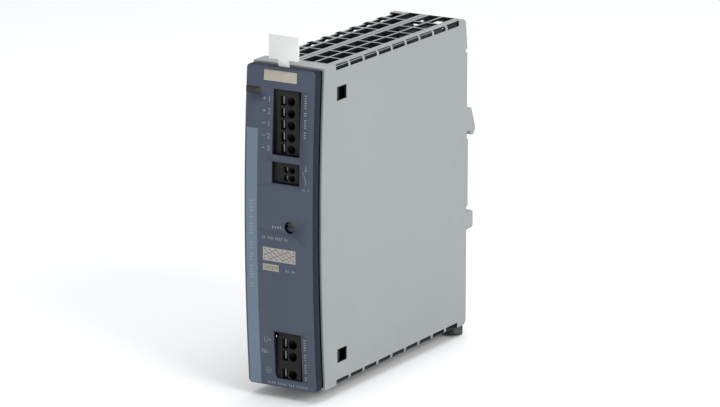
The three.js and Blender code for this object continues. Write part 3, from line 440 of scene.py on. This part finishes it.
def printed(name, colour, rough):
    """Ink on the front's film: slightly uneven cover and sheen."""
    material, tree, shader = start_material(name)
    texture = shared(tree, moulded_grain(), Size=0.00018)
    change = shared(tree, handled_surface(), Size=0.01)["Change"]
    thin = tree.blend(tree.math("MULTIPLY", texture["Fleck"], 0.2), shaded(colour, 1.0), shaded(colour, 0.75))
    join(tree, tree.blend(change, thin, shaded(colour, 1.04)), shader.inputs["Base Color"])
    join(tree, tree.spread(change, 0.0, 1.0, rough - 0.04, rough + 0.06), shader.inputs["Roughness"])
    relief(tree, shader, texture["Height"], 0.000008)
    return material


def clear_plastic(name, colour, rough):
    """Clear plastic with faint flow streaks in its gloss."""
    material, tree, shader = start_material(name)
    change = shared(tree, handled_surface(), Size=0.006)["Change"]
    join(tree, tree.blend(change, shaded(colour, 0.9), shaded(colour, 1.1)), shader.inputs["Base Color"])
    join(tree, tree.spread(change, 0.0, 1.0, rough, rough + 0.08), shader.inputs["Roughness"])
    relief(tree, shader, shared(tree, moulded_grain(), Size=0.0009)["Height"], 0.000006)
    return material


# ---------------------------------------------------------------- pieces


def dress(nodes, material):
    """Gives CAD nodes a finish."""
    for node in nodes:
        piece = frame["nodes"][node]
        if not piece.material_slots:
            piece.data.materials.append(material)
        for slot in piece.material_slots:
            slot.material = material


def merged(node):
    """Working copy of a CAD node with its loose triangles joined into whole faces."""
    work = bmesh.new()
    work.from_mesh(frame["nodes"][node].data)
    bmesh.ops.remove_doubles(work, verts=work.verts, dist=0.000002)
    bmesh.ops.dissolve_limit(work, angle_limit=math.radians(0.2), verts=work.verts, edges=work.edges)
    return work


def finished(work, name, body, materials):
    """Turns working geometry into a named piece that rides on a body."""
    for face in work.faces:
        face.smooth = True
    mesh = bpy.data.meshes.new(name)
    work.to_mesh(mesh)
    work.free()
    for material in materials:
        mesh.materials.append(material)
    piece = bpy.data.objects.new(name, mesh)
    bpy.context.scene.collection.objects.link(piece)
    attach(piece, body)
    return piece


def round_edges(piece, radius, weighted=False):
    """Rounds all the sharp edges of a piece, or its weighted ones."""
    rounding = piece.modifiers.new("rounded edges", "BEVEL")
    rounding.width = radius
    rounding.segments = 2
    rounding.limit_method = "WEIGHT" if weighted else "ANGLE"
    rounding.angle_limit = math.radians(ROUNDED_FROM)
    rounding.use_clamp_overlap = False
    rounding.loop_slide = False
    rounding.harden_normals = True


def is_sharp(edge):
    """Whether two faces meet at an edge by more than the angle that gets rounded."""
    return len(edge.link_faces) == 2 and edge.calc_face_angle() > math.radians(ROUNDED_FROM)


def stand_in(node, name, materials, radius, pick=None, shape=None, chosen=None):
    """A copy of a CAD node with all its edges or chosen ones rounded, shown in its place."""
    work = merged(node)
    if shape:
        shape(work)
    if chosen:
        weight = work.edges.layers.float.new("bevel_weight_edge")
        for edge in work.edges:
            edge[weight] = 1.0 if chosen(edge) else 0.0
    if pick:
        for face in work.faces:
            face.material_index = pick(face)
    piece = finished(work, name, body_of[node], materials)
    round_edges(piece, radius, weighted=chosen is not None)
    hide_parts(node)
    return piece


# ---------------------------------------------------------------- print on the front


class Print:
    """Flat marks that lie on the bowed front, one layer over another."""

    def __init__(self):
        self.work = bmesh.new()

    def lay(self, verts, material, layer):
        """Bends flat marks onto the front and gives them their ink."""
        for vert in verts:
            vert.co.y = front_at(vert.co.z) + FACE_SINK - PRINT_LIFT * (layer + 1)
        for face in {f for v in verts for f in v.link_faces}:
            face.material_index = material
            if face.normal.y > 0:
                face.normal_flip()

    def field(self, x, z, material=0, layer=1, steps=1, lean=0.0):
        """A rectangle between two places across and two heights."""
        size = Vector((abs(x[1] - x[0]) / 2, abs(z[1] - z[0]) / 2, 1))
        made = bmesh.ops.create_grid(self.work, x_segments=1, y_segments=steps, size=1)["verts"]
        upright = Matrix.Rotation(math.radians(90), 4, "X")
        turned = Matrix.Rotation(lean, 4, "Y")
        middle = Matrix.Translation((sum(x) / 2, 0, sum(z) / 2))
        bmesh.ops.transform(
            self.work, verts=made, matrix=middle @ turned @ upright @ Matrix.Diagonal(size).to_4x4()
        )
        self.work.normal_update()
        self.lay(made, material, layer)

    def ring(self, x, z, radius, line):
        """A thin circle."""
        made = bmesh.ops.create_circle(self.work, segments=28, radius=radius)["verts"]
        upright = Matrix.Translation((x, 0, z)) @ Matrix.Rotation(math.radians(90), 4, "X")
        bmesh.ops.transform(self.work, verts=made, matrix=upright)
        rim = list({e for v in made for e in v.link_edges})
        inner = bmesh.ops.extrude_edge_only(self.work, edges=rim)["geom"]
        inner = [g for g in inner if isinstance(g, bmesh.types.BMVert)]
        share = (radius - line) / radius
        around = Matrix.Translation((-x, 0, -z))
        bmesh.ops.scale(self.work, verts=inner, vec=(share, 1, share), space=around)
        self.work.normal_update()
        self.lay(made + inner, 0, 1)

    def sign(self, text, x, z, tall):
        """A digit or sign with its middle at a place."""
        curve = bpy.data.curves.new("sign", "FONT")
        curve.body = text
        curve.size = tall * 1.4
        curve.align_x = "CENTER"
        curve.resolution_u = 3
        holder = bpy.data.objects.new("sign", curve)
        bpy.context.scene.collection.objects.link(holder)
        bpy.context.view_layer.update()
        flat = bpy.data.meshes.new_from_object(holder.evaluated_get(bpy.context.evaluated_depsgraph_get()))
        bpy.data.objects.remove(holder)
        bpy.data.curves.remove(curve)
        known = set(self.work.verts)
        self.work.from_mesh(flat)
        bpy.data.meshes.remove(flat)
        made = [v for v in self.work.verts if v not in known]
        low = min(v.co.y for v in made)
        high = max(v.co.y for v in made)
        upright = Matrix.Rotation(math.radians(90), 4, "X") @ Matrix.Translation((0, -(low + high) / 2, 0))
        bmesh.ops.transform(self.work, verts=made, matrix=Matrix.Translation((x, 0, z)) @ upright)
        self.work.normal_update()
        self.lay(made, 0, 1)

    def row(self, start, end, middle, tall, words, upright=False):
        """Short strokes in place of a line of small print; words gives the strokes of each word."""
        unit = (end - start) / (sum(words) + len(words) - 1)
        at = start
        for word in words:
            for stroke in range(word):
                high = (0.5, 0.3, 0.42)[stroke % 3] * tall
                along = (at + 0.2 * unit, at + 0.62 * unit)
                across = (middle - 0.5 * tall, middle + high)
                self.field(*((across, along) if upright else (along, across)))
                at += unit
            at += unit


def mm(*values):
    """Millimetres as metres."""
    return [v / 1000 for v in values]


def front_marks(settings):
    """Everything printed on the front cover: 0 ink, 1 accent, 2 code field, 3 second field, 4 dark."""
    marks = Print()
    # accent strip and the plain blocks on it
    marks.field(mm(-15.5, -10.2), mm(-66.7, 41.2), material=1, layer=0, steps=48)
    marks.row(*mm(11.5, -3.5, -13.0, 1.9), (4, 1, 4), upright=True)
    marks.row(*mm(-6.0, -26.0, -13.0, 1.9), (3, 3, 5, 2), upright=True)
    # output poles
    for number, z in zip("12123", (53.9, 48.9, 43.8, 38.8, 33.7)):
        plus = z > 45
        x, z, digit_x = mm(-7.4, z, -5.0)
        half, line = mm(0.75, 0.14)
        marks.field((x - half, x + half), (z - line, z + line))
        if plus:
            marks.field((x - line, x + line), (z - half, z + half))
        marks.sign(number, digit_x, z, settings.digit)
    marks.row(*mm(57.4, 39.4, 12.2, 1.1), (6, 2, 4, 3), upright=True)
    # signal contact: two wires, a lever and its fixed contact
    marks.field(mm(12.8, 13.05), mm(26.4, 28.6))
    marks.field(mm(12.8, 13.05), mm(20.2, 22.4))
    marks.field(mm(12.0, 12.25), mm(22.3, 26.0), lean=math.radians(-24))
    marks.field(mm(12.1, 13.8), mm(26.3, 26.55))
    marks.row(*mm(11.4, 14.6, 18.4, 0.9), (2, 1))
    # trimmer, rating
    marks.row(*mm(-3.2, 1.8, 1.3, 1.2), (4,))
    marks.row(*mm(-7.8, 4.6, -3.5, 1.3), (2, 3, 4, 2))
    # code field with a plain raster, and a smaller field
    marks.field(mm(-7.5, 8.1), mm(-13.3, -7.7), material=2, layer=0, steps=4)
    for line in range(6):
        for place in range(18):
            if (3 * line + 5 * place) % 7 < 3:
                x = -7.0 + place * 0.82
                z = -8.5 - line * 0.78
                marks.field(mm(x, x + 0.7), mm(z - 0.33, z + 0.33), material=4)
    marks.field(mm(-7.6, 0.0), mm(-17.5, -14.7), material=3, layer=0, steps=2)
    for place in range(9):
        x = -7.0 + place * 0.76
        marks.field(mm(x, x + 0.2 + 0.1 * (place % 3)), mm(-16.9, -15.3), material=4)
    marks.row(*mm(3.2, 8.0, -16.6, 1.1), (2, 2))
    # input poles
    for sign, x, z in (("L/+", -6.3, -47.3), ("N/-", -7.6, -52.4)):
        marks.sign(sign, *mm(x, z), settings.digit * 0.85)
    x, z, radius, line = mm(-6.4, -60.4, 1.35, 0.16)
    marks.ring(x, z, radius, line)
    marks.field((x - line / 2, x + line / 2), (z, z + radius * 0.75))
    for step, half in enumerate(mm(0.8, 0.5, 0.2)):
        low = z - step * 0.0004
        marks.field((x - half, x + half), (low - line / 2, low + line / 2))
    marks.row(*mm(-44.6, -62.8, 11.6, 1.1), (5, 3, 4, 2), upright=True)
    marks.row(*mm(-7.0, 12.3, -65.7, 1.1), (4, 5, 3, 6))
    return marks.work


# ---------------------------------------------------------------- operators


class HousingOperator(bpy.types.Operator):
    """Vented half shells with hooks, lugs and the rail seat"""

    bl_idname = "supply.housing"
    bl_label = "Housing"

    def execute(self, context):
        s = context.scene.supply_housing
        shell = moulding("shell_grey", s.shell, 0.56, grain=s.grain, dust=0.03, edge_highlight=0.3, pale=1.25)
        # painted shade: deep inner faces, slot reveals and the bars' inner sides get this near-black copy of
        # the shell's grey
        inside = moulding(
            "shell_painted_shade", s.inside, 0.7, grain=s.grain, depth=0.00002, edge_highlight=0.1, gloss=0.12
        )
        for node in ("housing_right", "housing_left"):

            # picks the faces that carry the painted shade
            def inner(face):
                at = face.calc_center_median()
                way = face.normal
                deep = abs(at.z) < HALF_HEIGHT - SKIN and abs(at.x) < HALF_WIDTH - SKIN
                square = max(abs(part) for part in way) > 0.995
                rim = way.y < -0.9 and at.y < front_at(at.z) + RIM_BEHIND
                outward = way.z * at.z > 0.9 * abs(at.z) and abs(at.z) > HALF_HEIGHT - BAR_SINK
                return 1 if deep and square and at.y < INNER_BACK and not (rim or outward) else 0

            def crisp(edge):
                run = edge.verts[0].co - edge.verts[1].co
                high = all(abs(vert.co.z) > HALF_HEIGHT - BAR_SINK for vert in edge.verts)
                bar_end = high and min(abs(run.x), abs(run.z)) > SAME_PLACE
                return is_sharp(edge) and not bar_end

            stand_in(node, node + "_shell", [shell, inside], s.rounding, pick=inner, chosen=crisp)
        return {"FINISHED"}


class CoverOperator(bpy.types.Operator):
    """Bowed front cover with its film face"""

    bl_idname = "supply.cover"
    bl_label = "Front cover"

    def execute(self, context):
        s = context.scene.supply_cover
        film = moulding("cover_film", s.face, 0.42, grain=0.0003, depth=0.00001, edge_highlight=0.35, gloss=0.4)
        body = moulding("cover_body", s.body, 0.5, depth=0.00002, pale=1.8, gloss=0.12)

        def sink(work):
            for vert in work.verts:
                if vert.co.y < front_at(vert.co.z) + FACE_SINK:
                    vert.co.y += FACE_SINK

        def on_face(face):
            at = face.calc_center_median()
            return 0 if face.normal.y < -0.9 and at.y < front_at(at.z) + FILM_DEPTH else 1

        def around(edge):
            places = [vert.co for vert in edge.verts]
            outer = all(abs(p.x) > COVER_REACH.x or abs(p.z) > COVER_REACH.z for p in places)
            return outer and is_sharp(edge)

        finish = [film, body]
        stand_in(
            "front_cover", "front_cover_body", finish, s.rounding, pick=on_face, shape=sink, chosen=around
        )
        return {"FINISHED"}


class PrintOperator(bpy.types.Operator):
    """Terminal numbers, symbols and fields printed on the front"""

    bl_idname = "supply.print"
    bl_label = "Front print"

    def execute(self, context):
        s = context.scene.supply_print
        materials = [
            printed("print_ink", s.ink, 0.45),
            printed("accent_film", context.scene.supply_cover.accent, 0.4),
            printed("code_field", s.code, 0.5),
            printed("second_field", s.second, 0.5),
            printed("dark_ink", s.dark, 0.5),
        ]
        finished(front_marks(s), "front_print", "housing", materials)
        return {"FINISHED"}


class FittingsOperator(bpy.types.Operator):
    """Status window, light guide, name plate and marking tag"""

    bl_idname = "supply.fittings"
    bl_label = "Window, plate and tag"

    def execute(self, context):
        s = context.scene.supply_cover
        smoked = clear_plastic("smoked_window", s.smoked, 0.12)
        stand_in("status_window", "status_window_lens", [smoked], WINDOW_EDGE)
        dress(["light_guide"], clear_plastic("light_guide_clear", (0.75, 0.8, 0.82), 0.08))
        foil = metal("name_plate_foil", s.plate, 0.42, lines=(160.0, 3000.0, 4200.0))
        stand_in("name_plate", "name_plate_foil", [foil], PLATE_EDGE)
        tag = moulding("tag_white", s.tag, 0.5, grain=0.0003, depth=0.00001, edge_highlight=0.1, pale=1.05)
        stand_in("marking_tag", "marking_tag_plate", [tag], TAG_EDGE)
        return {"FINISHED"}


class TerminalsOperator(bpy.types.Operator):
    """Terminal blocks with their spring leaves and contact bars"""

    bl_idname = "supply.terminals"
    bl_label = "Terminals"

    def execute(self, context):
        s = context.scene.supply_terminals
        black = moulding(
            "terminal_black", s.block, 0.46, grain=0.00035, depth=0.00002, edge_highlight=0.6, pale=2.4, gloss=0.2
        )
        for node in ("output_block", "signal_block", "input_block"):
            stand_in(node, node + "_moulding", [black], s.rounding)
        for block in ("output", "signal", "input"):
            leaves = [n for n in slot_of if n.startswith(block) and n.endswith("_spring_leaf")]
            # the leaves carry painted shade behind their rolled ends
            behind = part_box(leaves[0])[0].y + LEAF_ROLL
            steel = metal(block + "_leaf_steel", s.steel, 0.28, (300.0, 4000.0, 4000.0), painted_shade_from=behind)
            dress(leaves, steel)
        tin = metal("contact_tin", s.tin, 0.36, lines=(4000.0, 300.0, 4000.0))
        dress([n for n in slot_of if n.endswith("_contact")], tin)
        return {"FINISHED"}


class TrimmerOperator(bpy.types.Operator):
    """Trimmer body and its slotted adjuster"""

    bl_idname = "supply.trimmer"
    bl_label = "Trimmer"

    def execute(self, context):
        s = context.scene.supply_terminals
        grey = moulding("trimmer_grey", s.trimmer, 0.45, grain=0.0003, edge_highlight=0.5, pale=1.6)
        stand_in("trimmer_adjuster", "trimmer_adjuster_head", [grey], TRIMMER_EDGE)
        dress(["trimmer_body"], moulding("trimmer_blue", (0.03, 0.09, 0.3), 0.4, grain=0.0003))
        return {"FINISHED"}


class LatchOperator(bpy.types.Operator):
    """Rail latch with its foot"""

    bl_idname = "supply.latch"
    bl_label = "Rail latch"

    def execute(self, context):
        s = context.scene.supply_latch
        dark = moulding("latch_dark", s.foot, 0.48, grain=0.0004, edge_highlight=0.6, pale=2.2)
        stand_in("rail_latch", "rail_latch_moulding", [dark], s.rounding)
        return {"FINISHED"}


class SpringOperator(bpy.types.Operator):
    """Compression spring of the latch"""

    bl_idname = "supply.spring"
    bl_label = "Latch spring"

    def execute(self, context):
        s = context.scene.supply_latch
        low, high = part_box("latch_spring")
        middle = (low + high) / 2
        reach = (high.x - low.x - s.wire) / 2
        work = bmesh.new()
        ring = bmesh.ops.create_circle(work, cap_ends=True, segments=12, radius=s.wire / 2)
        start = Matrix.Translation((middle.x + reach, middle.y, low.z + s.wire / 2))
        bmesh.ops.transform(
            work, verts=ring["verts"], matrix=start @ Matrix.Rotation(math.radians(90), 4, "X")
        )
        steps = s.turns * 36
        rise = (high.z - low.z - s.wire) / steps
        bmesh.ops.spin(
            work,
            geom=work.faces[:],
            cent=middle,
            axis=(0, 0, 1),
            dvec=(0, 0, rise),
            angle=2 * math.pi * s.turns,
            steps=steps,
            use_duplicate=False,
        )
        bmesh.ops.remove_doubles(work, verts=work.verts, dist=0.000001)
        bmesh.ops.recalc_face_normals(work, faces=work.faces)
        steel = metal("spring_wire_steel", context.scene.supply_terminals.steel, 0.3)
        piece = finished(work, "latch_spring_wire", "housing", [steel])
        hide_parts("latch_spring")
        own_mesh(piece)
        return {"FINISHED"}


class BoardOperator(bpy.types.Operator):
    """Circuit board"""

    bl_idname = "supply.board"
    bl_label = "Circuit board"

    def execute(self, context):
        s = context.scene.supply_electronics
        material, tree, shader = start_material("board_mask")
        here = tree.place()
        cells = tree.add(
            "ShaderNodeTexVoronoi", {"Vector": here, "Scale": 260.0}, feature="F1", distance="MANHATTAN"
        ).outputs["Distance"]
        bands = tree.math("PINGPONG", tree.math("MULTIPLY", cells, 5.0), 1.0)
        tracks = tree.spread(bands, 0.42, 0.5, 0.0, 1.0)
        change = shared(tree, handled_surface(), Size=0.02)["Change"]
        body = tree.blend(tracks, shaded(s.mask, 0.7), shaded(s.mask, 1.5))
        body = tree.blend(tree.math("MULTIPLY", change, 0.3), body, shaded(s.mask, 0.8))
        join(tree, body, shader.inputs["Base Color"])
        join(tree, tree.spread(change, 0.0, 1.0, 0.25, 0.4), shader.inputs["Roughness"])
        relief(tree, shader, tracks, 0.00004)
        dress(["circuit_board"], material)
        return {"FINISHED"}


class ComponentsOperator(bpy.types.Operator):
    """Components on the circuit board"""

    bl_idname = "supply.components"
    bl_label = "Components"

    def execute(self, context):
        s = context.scene.supply_electronics
        metal_fins = metal("heat_sink_aluminium", s.aluminium, 0.4, lines=(300.0, 4000.0, 4000.0))
        dress(["primary_heat_sink", "secondary_heat_sink"], metal_fins)
        package = moulding("package_black", (0.02, 0.02, 0.021), 0.55)
        dress(["switching_transistor", "output_rectifier"], package)
        dress(["choke_core", "transformer_core"], moulding("ferrite_grey", (0.035, 0.033, 0.035), 0.7))
        dress(["transformer_winding"], moulding("winding_tape", (0.6, 0.4, 0.05), 0.35, grain=0.001))
        dress(["film_capacitor"], moulding("film_case", (0.55, 0.36, 0.04), 0.35))
        dress(["fuse"], clear_plastic("fuse_ceramic", (0.66, 0.63, 0.55), 0.25))
        dress(["signal_relay"], moulding("relay_case", (0.025, 0.05, 0.14), 0.35))
        dress([n for n in slot_of if slot_of[n] == "copper"], wound_wire("choke_wire", s.copper))
        dress(["bulk_capacitor"], sleeved_can("bulk_sleeve", "bulk_capacitor", 1, s))
        for node in ("output_capacitor_1", "output_capacitor_2", "output_capacitor_3"):
            dress([node], sleeved_can(node + "_sleeve", node, 0, s))
        return {"FINISHED"}


def wound_wire(name, colour):
    """Lacquered wire wound round the choke's ring, one turn beside the other."""
    low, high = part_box("choke_core")
    centre = (low + high) / 2
    material, tree, shader = start_material(name)
    parts = tree.add("ShaderNodeSeparateXYZ", {0: tree.place(centre=centre)})
    angle = tree.math("ARCTAN2", parts.outputs["Y"], parts.outputs["Z"])
    turns = tree.math("ABSOLUTE", tree.math("SINE", tree.math("MULTIPLY", angle, 22.0)))
    change = shared(tree, handled_surface(), Size=0.008)["Change"]
    # painted shade: the colour darkens towards the grooves between turns and is lightest on each turn's crest
    body = tree.blend(turns, shaded(colour, 0.25), shaded(colour, 1.0))
    body = tree.blend(tree.math("MULTIPLY", change, 0.3), body, shaded(colour, 0.7))
    join(tree, body, shader.inputs["Base Color"])
    join(tree, tree.spread(change, 0.0, 1.0, 0.22, 0.4), shader.inputs["Roughness"])
    relief(tree, shader, turns, 0.0005)
    shader.inputs["Metallic"].default_value = 0.8
    return material


def sleeved_can(name, node, axis, settings):
    """Shrunk sleeve round an aluminium can, open over the can's outer end."""
    low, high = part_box(node)
    centre = (low + high) / 2
    material, tree, shader = start_material(name)
    parts = tree.add("ShaderNodeSeparateXYZ", {0: tree.place(centre=centre)}).outputs
    first, second = (parts[i] for i in range(3) if i != axis)
    squares = [tree.math("POWER", part, 2.0) for part in (first, second)]
    from_axis = tree.math("SQRT", tree.math("ADD", *squares))
    radius = (high[2] - low[2]) / 2
    end_face = tree.spread(from_axis, radius * 0.78, radius * 0.8, 1.0, 0.0)
    half = (high[axis] - low[axis]) / 2
    outer = tree.spread(parts[axis], -half + 0.0004, -half + 0.0006, 1.0, 0.0)
    bare = tree.math("MULTIPLY", end_face, outer)
    stripe = tree.spread(tree.math("ABSOLUTE", first), radius * 0.3, radius * 0.32, 1.0, 0.0)
    stripe = tree.math("MULTIPLY", stripe, tree.math("GREATER_THAN", second, 0.0))
    change = shared(tree, handled_surface(), Size=0.015)["Change"]
    body = tree.blend(stripe, shaded(settings.sleeve, 1.0), (0.25, 0.27, 0.3, 1.0))
    body = tree.blend(tree.math("MULTIPLY", change, 0.3), body, shaded(settings.sleeve, 0.7))
    body = tree.blend(bare, body, shaded(settings.aluminium, 1.0))
    join(tree, body, shader.inputs["Base Color"])
    join(tree, bare, shader.inputs["Metallic"])
    join(tree, tree.spread(change, 0.0, 1.0, 0.28, 0.42), shader.inputs["Roughness"])
    relief(tree, shader, shared(tree, moulded_grain(), Size=0.0008)["Height"], 0.00001)
    return material


class StageOperator(bpy.types.Operator):
    """Floor, soft lights and camera"""

    bl_idname = "supply.stage"
    bl_label = "Stage"

    def execute(self, context):
        s = context.scene.supply_stage
        scene = context.scene
        scene.view_settings.view_transform = "Standard"
        world = scene.world or bpy.data.worlds.new("surround")
        scene.world = world
        world.use_nodes = True
        sky = world.node_tree.nodes["Background"]
        sky.inputs["Color"].default_value = (0.94, 0.965, 1.0, 1.0)
        sky.inputs["Strength"].default_value = s.surround
        self.lay_floor(s)
        centre = Vector(LIT_PLACE)
        for name, power, size, place in (
            ("key_light", s.key, 0.9, (1.5, -0.5, 0.9)),
            ("overhead_light", s.overhead, 1.2, (0.1, 0.1, 1.6)),
            ("front_light", s.fill, 1.0, (-0.5, -1.7, 0.5)),
        ):
            lamp = bpy.data.lights.new(name, "AREA")
            lamp.shape = "SQUARE"
            lamp.size = size
            lamp.energy = power
            holder = bpy.data.objects.new(name, lamp)
            aim = (Vector(place) - centre).to_track_quat("Z", "Y").to_matrix().to_4x4()
            holder.matrix_world = Matrix.Translation(place) @ aim
            scene.collection.objects.link(holder)
        self.set_camera(scene, s)
        return {"FINISHED"}

    def lay_floor(self, s):
        material, tree, shader = start_material("pale_floor")
        change = shared(tree, handled_surface(), Size=0.3)["Change"]
        colour = tree.blend(change, shaded(s.floor, 0.995), shaded(s.floor, 1.0))
        join(tree, colour, shader.inputs["Base Color"])
        join(tree, tree.spread(change, 0.0, 1.0, 0.75, 0.8), shader.inputs["Roughness"])
        work = bmesh.new()
        bmesh.ops.create_circle(work, cap_ends=True, segments=96, radius=FLOOR_RADIUS)
        bmesh.ops.translate(work, verts=work.verts, vec=(0, 0, cad_box[0][2]))
        mesh = bpy.data.meshes.new("pale_floor")
        work.to_mesh(mesh)
        work.free()
        mesh.materials.append(material)
        floor = bpy.data.objects.new("pale_floor", mesh)
        bpy.context.scene.collection.objects.link(floor)

    def set_camera(self, scene, s):
        back = Vector(
            (math.sin(s.turn) * math.cos(s.rise), -math.cos(s.turn) * math.cos(s.rise), math.sin(s.rise))
        )
        right = Vector((math.cos(s.turn), math.sin(s.turn), 0.0))
        up = back.cross(right)
        aim = Vector(VIEWED_PLACE)
        camera = bpy.data.cameras.new("camera")
        camera.lens = s.lens
        camera.sensor_width = 36.0
        camera.clip_end = 50.0
        holder = bpy.data.objects.new("camera", camera)
        turned = Matrix((right, up, back)).transposed().to_4x4()
        holder.matrix_world = Matrix.Translation(aim + back * s.distance) @ turned
        scene.collection.objects.link(holder)
        scene.camera = holder


OPERATORS = (
    HousingOperator,
    CoverOperator,
    PrintOperator,
    FittingsOperator,
    TerminalsOperator,
    TrimmerOperator,
    LatchOperator,
    SpringOperator,
    BoardOperator,
    ComponentsOperator,
    StageOperator,
)
SETTINGS = {
    "supply_housing": HousingSettings,
    "supply_cover": CoverSettings,
    "supply_print": PrintSettings,
    "supply_terminals": TerminalSettings,
    "supply_latch": LatchSettings,
    "supply_electronics": ElectronicsSettings,
    "supply_stage": StageSettings,
}


class SupplyPanel(bpy.types.Panel):
    """Sizes, colours and steps of the power supply"""

    bl_idname = "VIEW3D_PT_supply"
    bl_label = "Power Supply"
    bl_space_type = "VIEW_3D"
    bl_region_type = "UI"
    bl_category = "Power Supply"

    def draw(self, context):
        for name, group in SETTINGS.items():
            box = self.layout.box()
            box.label(text=group.__doc__)
            for setting in group.__annotations__:
                box.prop(getattr(context.scene, name), setting)
        for step in OPERATORS:
            self.layout.operator(step.bl_idname)


def register():
    for made in (*SETTINGS.values(), *OPERATORS, SupplyPanel):
        bpy.utils.register_class(made)
    for name, group in SETTINGS.items():
        setattr(bpy.types.Scene, name, PointerProperty(type=group))


def unregister():
    for name in SETTINGS:
        delattr(bpy.types.Scene, name)
    for made in reversed((*SETTINGS.values(), *OPERATORS, SupplyPanel)):
        bpy.utils.unregister_class(made)


def main():
    register()
    for step in OPERATORS:
        getattr(bpy.ops.supply, step.bl_idname.split(".")[1])()


if __name__ == "__main__":
    main()
